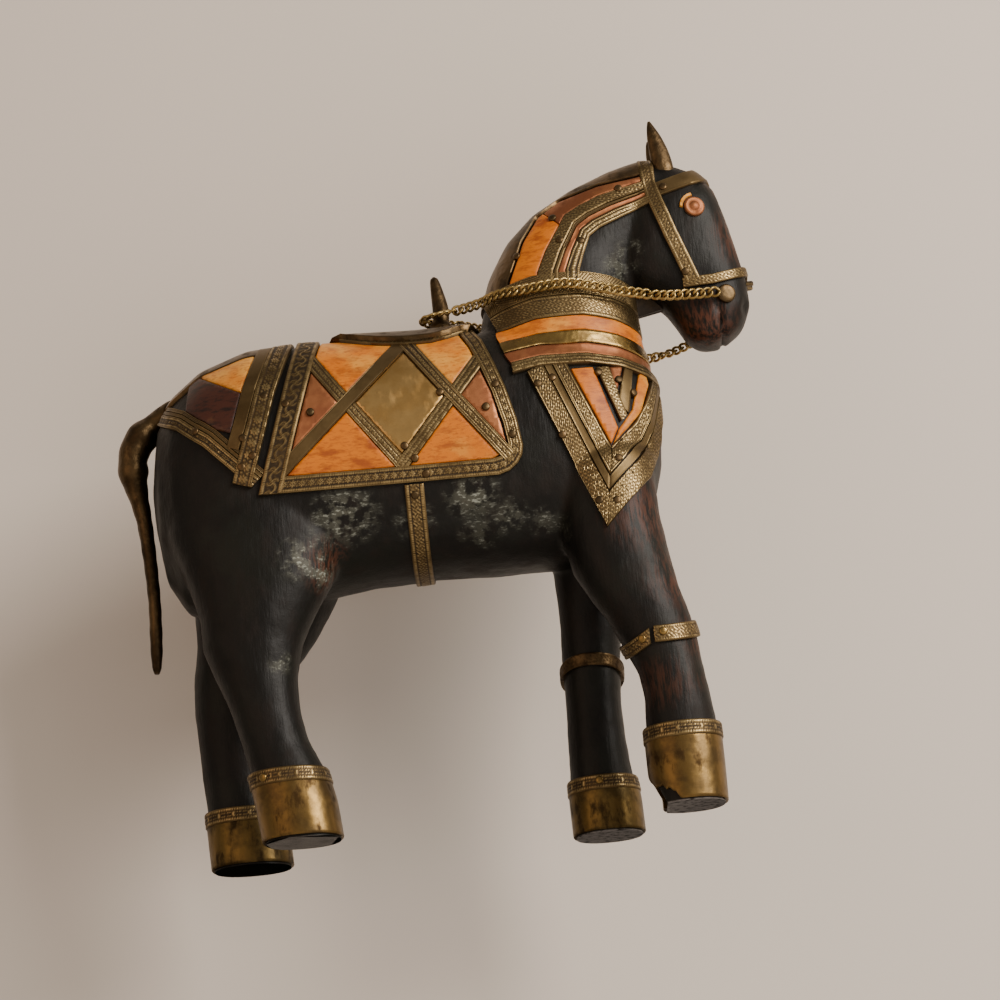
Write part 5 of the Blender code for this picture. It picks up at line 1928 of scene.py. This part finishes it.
@dataclass
class Bands(Dressing):
    """The girth under the belly and the bands round the forelegs."""

    girth_middle: float = 8.6
    girth_width: float = 7.2
    girth_top: float = 128.6
    band_width: float = 6.2
    band_plane: float = 28.0
    right_band: tuple = ((77.0, 55.2), (91.0, 64.6), (118.0, 64.6))
    left_band: tuple = ((50.0, 62.2), (90.0, 61.0))
    right_gap: tuple = (-21.4, 1.5)

    def build(self) -> None:
        """Makes the girth and the leg bands."""
        wrap = Wrap(self.wood, Core.SPINE, z=150.0)
        starts = [wrap.unroll(self.wood.side_point((self.girth_middle, self.girth_top), 35.0, -1))[1]]
        full = 2 * math.pi * wrap.radius
        turns = np.linspace(starts[0], -full - starts[0], 110)
        half = self.girth_width / 2
        edges = [np.array([(self.girth_middle + offset, b) for b in turns]) for offset in (-half, half)]
        skin = Skin()
        Strip(wrap, lift=1.2, die=WORMS_BEADED).lay(skin, *edges)
        skin.build("girth_band", PRESSED, "girth_strap")
        for name, middle, line, width, finish, gap in (
            ("right", (93.5, -23.0), self.right_band, self.band_width, PRESSED, self.right_gap),
            ("left", (69.0, 23.0), self.left_band, self.band_width - 1.4, PATINATED, (0.0, 0.0)),
        ):
            post = Wrap(self.wood, Core.POST, x=middle[0], y=middle[1], radius=12.0)
            skin = Skin()
            Strip(post, lift=1.3, die=LEG_WORMS).lay(skin, *self.ring(post, line, width, gap))
            skin.build(f"foreleg_strap_{name}", finish, f"foreleg_band_{name}")

    def ring(self, post: Wrap, line: Line, width: float, gap: tuple) -> list[np.ndarray]:
        """Finds the two edges of a band round a leg, from one side of its gap to the other.

        Args:
            post: How the leg is unrolled.
            line: The band's middle line in the side view.
            width: Its width.
            gap: Where its gap is round the leg, and how wide.

        Returns:
            The upper and the lower edge, unrolled.
        """
        start, end = gap[0] + gap[1] / 2, gap[0] + 2 * math.pi * post.radius - gap[1] / 2
        edges = []
        for offset in (width / 2, -width / 2):
            edge = []
            for a in np.linspace(start, end, 61):
                z = line[-1][1]
                for _ in range(4):
                    place = post.cast(a, z)
                    drawn = float(np.interp(place.x, *zip(*line)))
                    z = drawn + LEAN * (self.band_plane - abs(place.y)) + offset
                edge.append((a, z))
            edges.append(np.array(edge))
        return edges


@dataclass
class HoofCap(Dressing):
    """One hoof's brass cap with the pressed band at its top."""

    name: str = ""
    middle: Point = (0.0, 0.0)
    top: float = 24.0
    foot: float = 0.7
    band: float = 5.6
    chipped: bool = False

    def build(self) -> None:
        """Makes the cap and its band."""
        post = Wrap(self.wood, Core.POST, x=self.middle[0], y=self.middle[1], radius=13.0)
        half = math.pi * post.radius
        angles = np.linspace(-half, half, 97)
        lower = np.array([(a, self.lower_edge(post, a)) for a in angles])
        seam = np.array([(a, self.top - self.band + 0.6) for a in angles])
        skin = Skin()
        Strip(post, lift=1.15, die=BARE, relief=0.1).lay(skin, lower, seam)
        finish = CAP if self.name.endswith("right") else DARK_CAP
        skin.build(f"hoof_sheet_{self.name}", finish, f"hoof_cap_{self.name}")
        skin = Skin()
        edges = [np.array([(a, height) for a in angles]) for height in (self.top - self.band, self.top)]
        Strip(post, lift=1.45, die=HOOF_FLOWERS).lay(skin, *edges)
        skin.build(f"hoof_band_{self.name}", PRESSED)

    def lower_edge(self, post: Wrap, a: float) -> float:
        """Finds the height of the cap's lower edge, torn upwards where it is chipped.

        Args:
            post: How the hoof is unrolled.
            a: Where round the hoof.

        Returns:
            The height there.
        """
        if not self.chipped:
            return self.foot
        place = post.cast(a, 4.0)
        torn = np.interp(place.x, (86.0, 88.5, 92.0, 95.5), (8.6, 7.0, 4.8, self.foot))
        jag = 0.5 * math.sin(3.1 * place.x) + 0.35 * math.sin(7.3 * place.x + 1.0)
        outer = np.clip((-20.0 - place.y) / 6.0, 0, 1)
        rise = torn - self.foot
        if rise > 0.5:
            rise += jag
        return self.foot + max(0.0, float(rise) * float(outer))


# Each hoof's name, the middle of its leg from above, its cap's top, and whether it is chipped.
HOOVES = (
    ("front_right", (98.7, -23.0), 29.4, True), ("front_left", (69.3, 23.0), 21.6, False),
    ("hind_right", (-44.0, -23.0), 26.0, False), ("hind_left", (-67.0, 23.0), 22.4, False),
)


def tube_skin(
    path: np.ndarray, shape: Callable[[float], Point], around: int
) -> tuple[np.ndarray, list[tuple[int, ...]]]:
    """Draws a closed tube along a path.

    Args:
        path: Points along its middle.
        shape: For a share of the length, the tube's half width along x and its half width along y.
        around: How many points go round it.

    Returns:
        The points and the faces.
    """
    rows = []
    turns = np.linspace(0, 2 * math.pi, around, endpoint=False)
    tangents = np.gradient(path, axis=0)
    for index, (point, tangent) in enumerate(zip(path, tangents)):
        tangent = Vector(tangent).normalized()
        side = Vector((0, 1, 0))
        across = side.cross(tangent).normalized()
        side = tangent.cross(across).normalized()
        half_x, half_y = shape(index / (len(path) - 1))
        for turn in turns:
            rows.append(Vector(point) + across * half_x * math.cos(turn) + side * half_y * math.sin(turn))
    return np.array(rows), loft_faces(len(path), around)


@dataclass
class CastPieces(Dressing):
    """The tail, the ears and the saddle horn in darkened brass, and the chain rein."""

    tail: tuple = (
        (-80.0, 0, 179.0, 4.2), (-88.0, 0, 175.5, 4.8), (-95.0, 0, 170.0, 5.6), (-99.6, 0, 162.5, 6.1),
        (-100.2, 0, 154.0, 5.5), (-98.8, 0, 145.0, 3.9), (-97.0, 0, 134.0, 3.0), (-95.7, 0, 118.0, 2.6),
        (-95.0, 0, 102.0, 2.4), (-95.2, 0, 87.0, 2.4), (-95.5, 0, 77.5, 1.9), (-95.7, 0, 74.0, 0.9),
    )
    ear: tuple = (
        (116.5, -8.0, 254.0, 4.2), (116.0, -8.3, 259.5, 4.1), (115.2, -8.8, 264.5, 3.7),
        (114.0, -9.4, 270.0, 2.8), (113.0, -9.8, 274.5, 1.5), (112.6, -10.0, 277.0, 0.5),
    )
    horn: tuple = (
        (23.4, 0, 194.0, 4.6), (23.4, 0, 202.5, 4.4), (23.6, 0, 205.0, 3.3), (23.8, 0, 210.0, 3.2),
        (22.9, 0, 218.0, 2.4), (22.3, 0, 222.6, 1.6), (22.2, 0, 223.8, 0.5),
    )
    rein: tuple = (
        (129.8, -16.7, 200.4), (120.4, -18.0, 200.0), (108.8, -20.0, 200.0), (97.3, -22.0, 201.7),
        (90.5, -24.3, 202.6), (83.7, -25.7, 204.0), (76.9, -26.4, 205.6), (70.4, -26.6, 206.2),
        (63.4, -26.3, 205.8), (56.4, -24.9, 205.6), (49.4, -21.7, 206.0), (42.2, -15.8, 205.9),
        (35.0, -10.8, 205.8), (28.5, -7.6, 205.9), (22.8, -5.7, 206.0), (18.4, -3.3, 206.0),
        (17.0, 0.0, 206.0), (18.4, 3.3, 206.0), (22.8, 5.7, 206.0), (28.5, 7.8, 205.9), (35.0, 11.2, 205.6),
        (42.2, 16.2, 205.2), (49.4, 22.0, 204.4), (56.4, 25.5, 203.2), (63.4, 27.6, 201.2),
        (70.3, 28.4, 198.6), (78.0, 28.6, 195.6), (85.5, 27.8, 192.8), (92.5, 25.8, 190.4),
        (99.5, 21.8, 188.9), (106.5, 19.0, 188.6), (114.0, 17.4, 189.7), (121.5, 16.8, 192.6),
        (127.0, 16.8, 196.2), (129.8, 16.9, 200.2),
    )
    link_pitch: float = 2.95
    link_half_length: float = 2.2
    link_half_width: float = 1.7
    link_twist: float = 42.0
    link_lean: float = 20.0
    wire: float = 0.58
    stand_off: float = 4.0

    def build(self) -> None:
        """Makes the four pieces."""
        self.tube("tail_shaft", self.tail, "tail", 1.0, self.knuckles)
        for side_name, side in SIDES.items():
            path = [(x, -side * y, z, radius) for x, y, z, radius in self.ear]
            self.tube(f"ear_blade_{side_name}", path, f"ear_{side_name}", 0.62, None)
        self.tube("saddle_post", self.horn, "saddle_horn", 0.8, None)
        self.chain()

    def knuckles(self, share: float) -> float:
        """How much the tail swells at one share of its length: folds at its root, then a slim shaft."""
        folds = 0.16 * math.sin(46 * share) * max(0.0, 1 - 2.6 * share)
        return 1 + folds + 0.03 * math.sin(90 * share)

    def tube(
        self, name: str, stations: Sequence[Sequence[float]], node: str, flatness: float,
        swell: Callable[[float], float] | None,
    ) -> None:
        """Makes one cast piece along its middle line.

        Args:
            name: The piece's name.
            stations: The middle line with its radius.
            node: The frame's node that it stands for.
            flatness: Its thickness across the horse as a share of its width.
            swell: What its radius is multiplied by along its length.
        """
        path = smooth_path(stations, 0.8)
        swell = swell or (lambda share: 1.0)
        last = len(path) - 1

        def shape(share: float) -> Point:
            """The tube's half widths at one share of its length."""
            radius = float(np.interp(share * last, np.arange(last + 1), path[:, 3])) * swell(share)
            return max(radius, 0.15), max(radius * flatness, 0.12)

        points, faces = tube_skin(path[:, :3], shape, 28)
        skin = Skin()
        skin.add(points, faces)
        skin.build(name, PATINATED, node)

    def chain(self) -> None:
        """Links the rein from its route."""
        route = []
        for point in smooth_path(self.rein, 1.0):
            place, normal, _, _ = self.wood.tree.find_nearest(Vector(point))
            near = (Vector(point) - place).dot(normal)
            route.append(Vector(point) if near >= self.stand_off else place + normal * self.stand_off)
        path = smooth_path([tuple(point) for point in route], self.link_pitch)
        tangents = np.gradient(path, axis=0)
        skin = Skin()
        for point, tangent in zip(path, tangents):
            along = Vector(tangent).normalized()
            _, normal, _, _ = self.wood.tree.find_nearest(Vector(point))
            across = along.cross(normal).normalized()
            self.link(skin, Vector(point), along, across, across.cross(along).normalized())
        skin.build("rein_links", CHAIN, "rein_chain")

    def link(self, skin: Skin, middle: Vector, along: Vector, across: Vector, out: Vector) -> None:
        """Adds one curb link: an oval ring, twisted so that its neighbours lie flat in it.

        Args:
            skin: The chain.
            middle: The link's middle.
            along: The chain's run there.
            across: The direction across the run, along the wood.
            out: The direction out of the wood.
        """
        around, sides = 20, 8
        rows = []
        for step in range(around):
            turn = 2 * math.pi * step / around
            lean = math.radians(self.link_lean) + math.radians(self.link_twist) * math.cos(turn)
            reach = self.link_half_length * math.cos(turn)
            wide = self.link_half_width * math.sin(turn)
            radial = across * math.cos(lean) + out * math.sin(lean)
            flat = out * math.cos(lean) - across * math.sin(lean)
            centre = middle + along * reach + radial * wide
            ahead = along * (self.link_half_width * math.cos(turn))
            outwards = (ahead + radial * (self.link_half_length * math.sin(turn))).normalized()
            for spoke in range(sides):
                angle = 2 * math.pi * spoke / sides
                rows.append(centre + (outwards * math.cos(angle) + flat * math.sin(angle)) * self.wire)
        faces = []
        for step in range(around):
            here, there = step * sides, (step + 1) % around * sides
            for spoke in range(sides):
                after = (spoke + 1) % sides
                faces.append((here + spoke, here + after, there + after, there + spoke))
        skin.add(np.array(rows), faces)


@dataclass
class Tacks(Dressing):
    """The round brass tack heads that hold the sheets, at their places in the side view."""

    height: float = 0.55
    profile: tuple = ((0.0, 1.0), (0.8, 0.93), (1.25, 0.72), (1.5, 0.4), (1.55, 0.0), (1.55, -1.0))
    around: int = 16

    # The places by the plane of the drawing and the height of the sheet; a rivet lies where a ray
    # from its start meets the wood.
    places: tuple = (
        (35.0, 1.9, ((-27.8, 160.0), (38.0, 155.8), (6.4, 143.5), (21.3, 163.1), (46.8, 144.2), (9.8, 138.4),
                     (13.4, 132.1), (-36.9, 164.1), (42.2, 164.2))),
        (33.0, 1.7, ((-44.8, 168.8), (-50.5, 145.8), (-54.9, 141.9), (-71.3, 157.4), (-53.6, 153.0),
                     (8.6, 125.0))),
        (30.0, 1.7, ((58.2, 164.5), (63.8, 166.3), (65.5, 143.7), (77.0, 116.7), (83.2, 116.1), (85.4, 132.4),
                     (81.3, 166.8), (88.6, 163.2), (93.4, 157.6))),
        (15.0, 1.6, ((56.0, 222.5), (71.0, 237.0), (72.5, 227.5), (80.5, 226.5), (97.5, 247.0))),
        (14.5, 1.7, ((115.0, 246.0), (119.8, 210.5))),
    )
    rivets: tuple = ((95.0, -60.0, 63.1), (87.6, -60.0, 61.4), (-54.4, -60.0, 23.0), (67.5, 0.0, 19.3))
    rivet_lift: float = 1.6

    def build(self) -> None:
        """Makes each side's tack heads as one piece, and the rivets as another."""
        for side_name, side in SIDES.items():
            skin = Skin()
            for plane, lift, points in self.places:
                for point in points:
                    place = self.wood.side_point(point, plane, side)
                    if place is not None:
                        add_turned(skin, self.wood, place, self.raised(lift), self.around)
            skin.build(f"tack_heads_{side_name}", AGED)
        skin = Skin()
        for start in self.rivets:
            place = self.wood.meet(start, (0, 1, 0))
            add_turned(skin, self.wood, place, self.raised(self.rivet_lift), self.around)
        skin.build("rivet_heads", PLAIN)

    def raised(self, lift: float) -> list[Point]:
        """A head's profile on a sheet that stands this high."""
        return [(radius, lift + self.height * level if level >= 0 else 0.0) for radius, level in self.profile]


@dataclass(frozen=True)
class Studio:
    """The camera at the photograph's angle, soft light from the right, and pale paper below and behind."""

    elevation: float = -17.0
    roll: float = 5.4
    target: tuple = (40.0, 0.0, 130.0)
    distance: float = 1153.8
    lens: float = 108.0
    sensor: float = 36.0
    backdrop_gap: float = 0.100
    paper_size: float = 6.0
    lamps: tuple = (
        ("key_lamp", (0.95, -0.95, 0.65), 0.75, 26.0, "#fff6ec"),
        ("fill_lamp", (-0.9, -1.1, 0.35), 1.0, 3.0, "#ffd2b0"),
        ("low_lamp", (0.4, -0.9, -0.5), 0.9, 6.0, "#fbf4ee"),
    )
    lamp_aim: tuple = (0.0, 0.0, 0.13)
    world_colour: str = "#dcd0c2"
    world_strength: float = 0.42

    def build(self) -> None:
        """Makes the camera, the paper, the lamps and the world."""
        tilt, roll = math.radians(self.elevation), math.radians(self.roll)
        back = Vector((0, -math.cos(tilt), math.sin(tilt)))
        level = Vector((1, 0, 0))
        upright = level.cross(-back)
        right = level * math.cos(roll) - upright * math.sin(roll)
        up = level * math.sin(roll) + upright * math.cos(roll)
        turn = Matrix((right, up, back)).transposed().to_4x4()
        aim = Vector(self.target) * SCALE + SHIFT
        turn.translation = aim + back * self.distance * SCALE
        data = bpy.data.cameras.new("studio_camera")
        data.lens, data.sensor_width, data.sensor_fit = self.lens, self.sensor, "HORIZONTAL"
        data.clip_start = 0.01
        camera = bpy.data.objects.new("studio_camera", data)
        camera.matrix_world = turn
        bpy.context.scene.collection.objects.link(camera)
        bpy.context.scene.camera = camera
        self.paper("studio_floor", (0, 0, 0), (0, 0, 0))
        self.paper("studio_backdrop", (0, self.backdrop_gap, 0), (math.radians(90), 0, 0))
        for name, place, size, power, colour in self.lamps:
            self.lamp(name, place, size, power, colour)
        world = bpy.data.worlds.new("studio_world")
        world.use_nodes = True
        background = world.node_tree.nodes["Background"]
        background.inputs["Color"].default_value = linear(self.world_colour)
        background.inputs["Strength"].default_value = self.world_strength
        bpy.context.scene.world = world

    def paper(self, name: str, place: tuple, turn: tuple) -> None:
        """Lays one sheet of backdrop paper.

        Args:
            name: The sheet's name.
            place: Its middle.
            turn: Its turn about x, y and z.
        """
        mesh = bpy.data.meshes.new(name)
        half = self.paper_size / 2
        corners = [(-half, -half, 0), (half, -half, 0), (half, half, 0), (-half, half, 0)]
        mesh.from_pydata(corners, [], [(0, 1, 2, 3)])
        mesh.materials.append(StudioPaper().material())
        sheet = bpy.data.objects.new(name, mesh)
        sheet.location, sheet.rotation_euler = place, turn
        # The camera looks from below the floor, which therefore holds back no light from the wall behind.
        sheet.visible_shadow = sheet.visible_diffuse = False
        bpy.context.scene.collection.objects.link(sheet)

    def lamp(self, name: str, place: tuple, size: float, power: float, colour: str) -> None:
        """Hangs one soft lamp that faces the horse.

        Args:
            name: The lamp's name.
            place: Where it hangs, in metres.
            size: Its width in metres.
            power: Its power in watts.
            colour: Its hex colour.
        """
        data = bpy.data.lights.new(name, "AREA")
        data.size, data.energy, data.color = size, power, linear(colour)[:3]
        lamp = bpy.data.objects.new(name, data)
        lamp.location = place
        lamp.rotation_euler = (Vector(self.lamp_aim) - Vector(place)).to_track_quat("-Z", "Y").to_euler()
        bpy.context.scene.collection.objects.link(lamp)


def main() -> None:
    """Builds the horse from the wood outwards."""
    logging.basicConfig(level=logging.INFO, format="%(message)s")
    Studio().build()
    wood = Carving().build()
    for sub_assembly in (Saddle, Croup, Collar, Chest, Mane, Bridle, Bands, CastPieces, Tacks):
        sub_assembly(wood).build()
    for name, middle, top, chipped in HOOVES:
        HoofCap(wood, name=name, middle=middle, top=top, chipped=chipped).build()


if __name__ == "__main__":
    main()
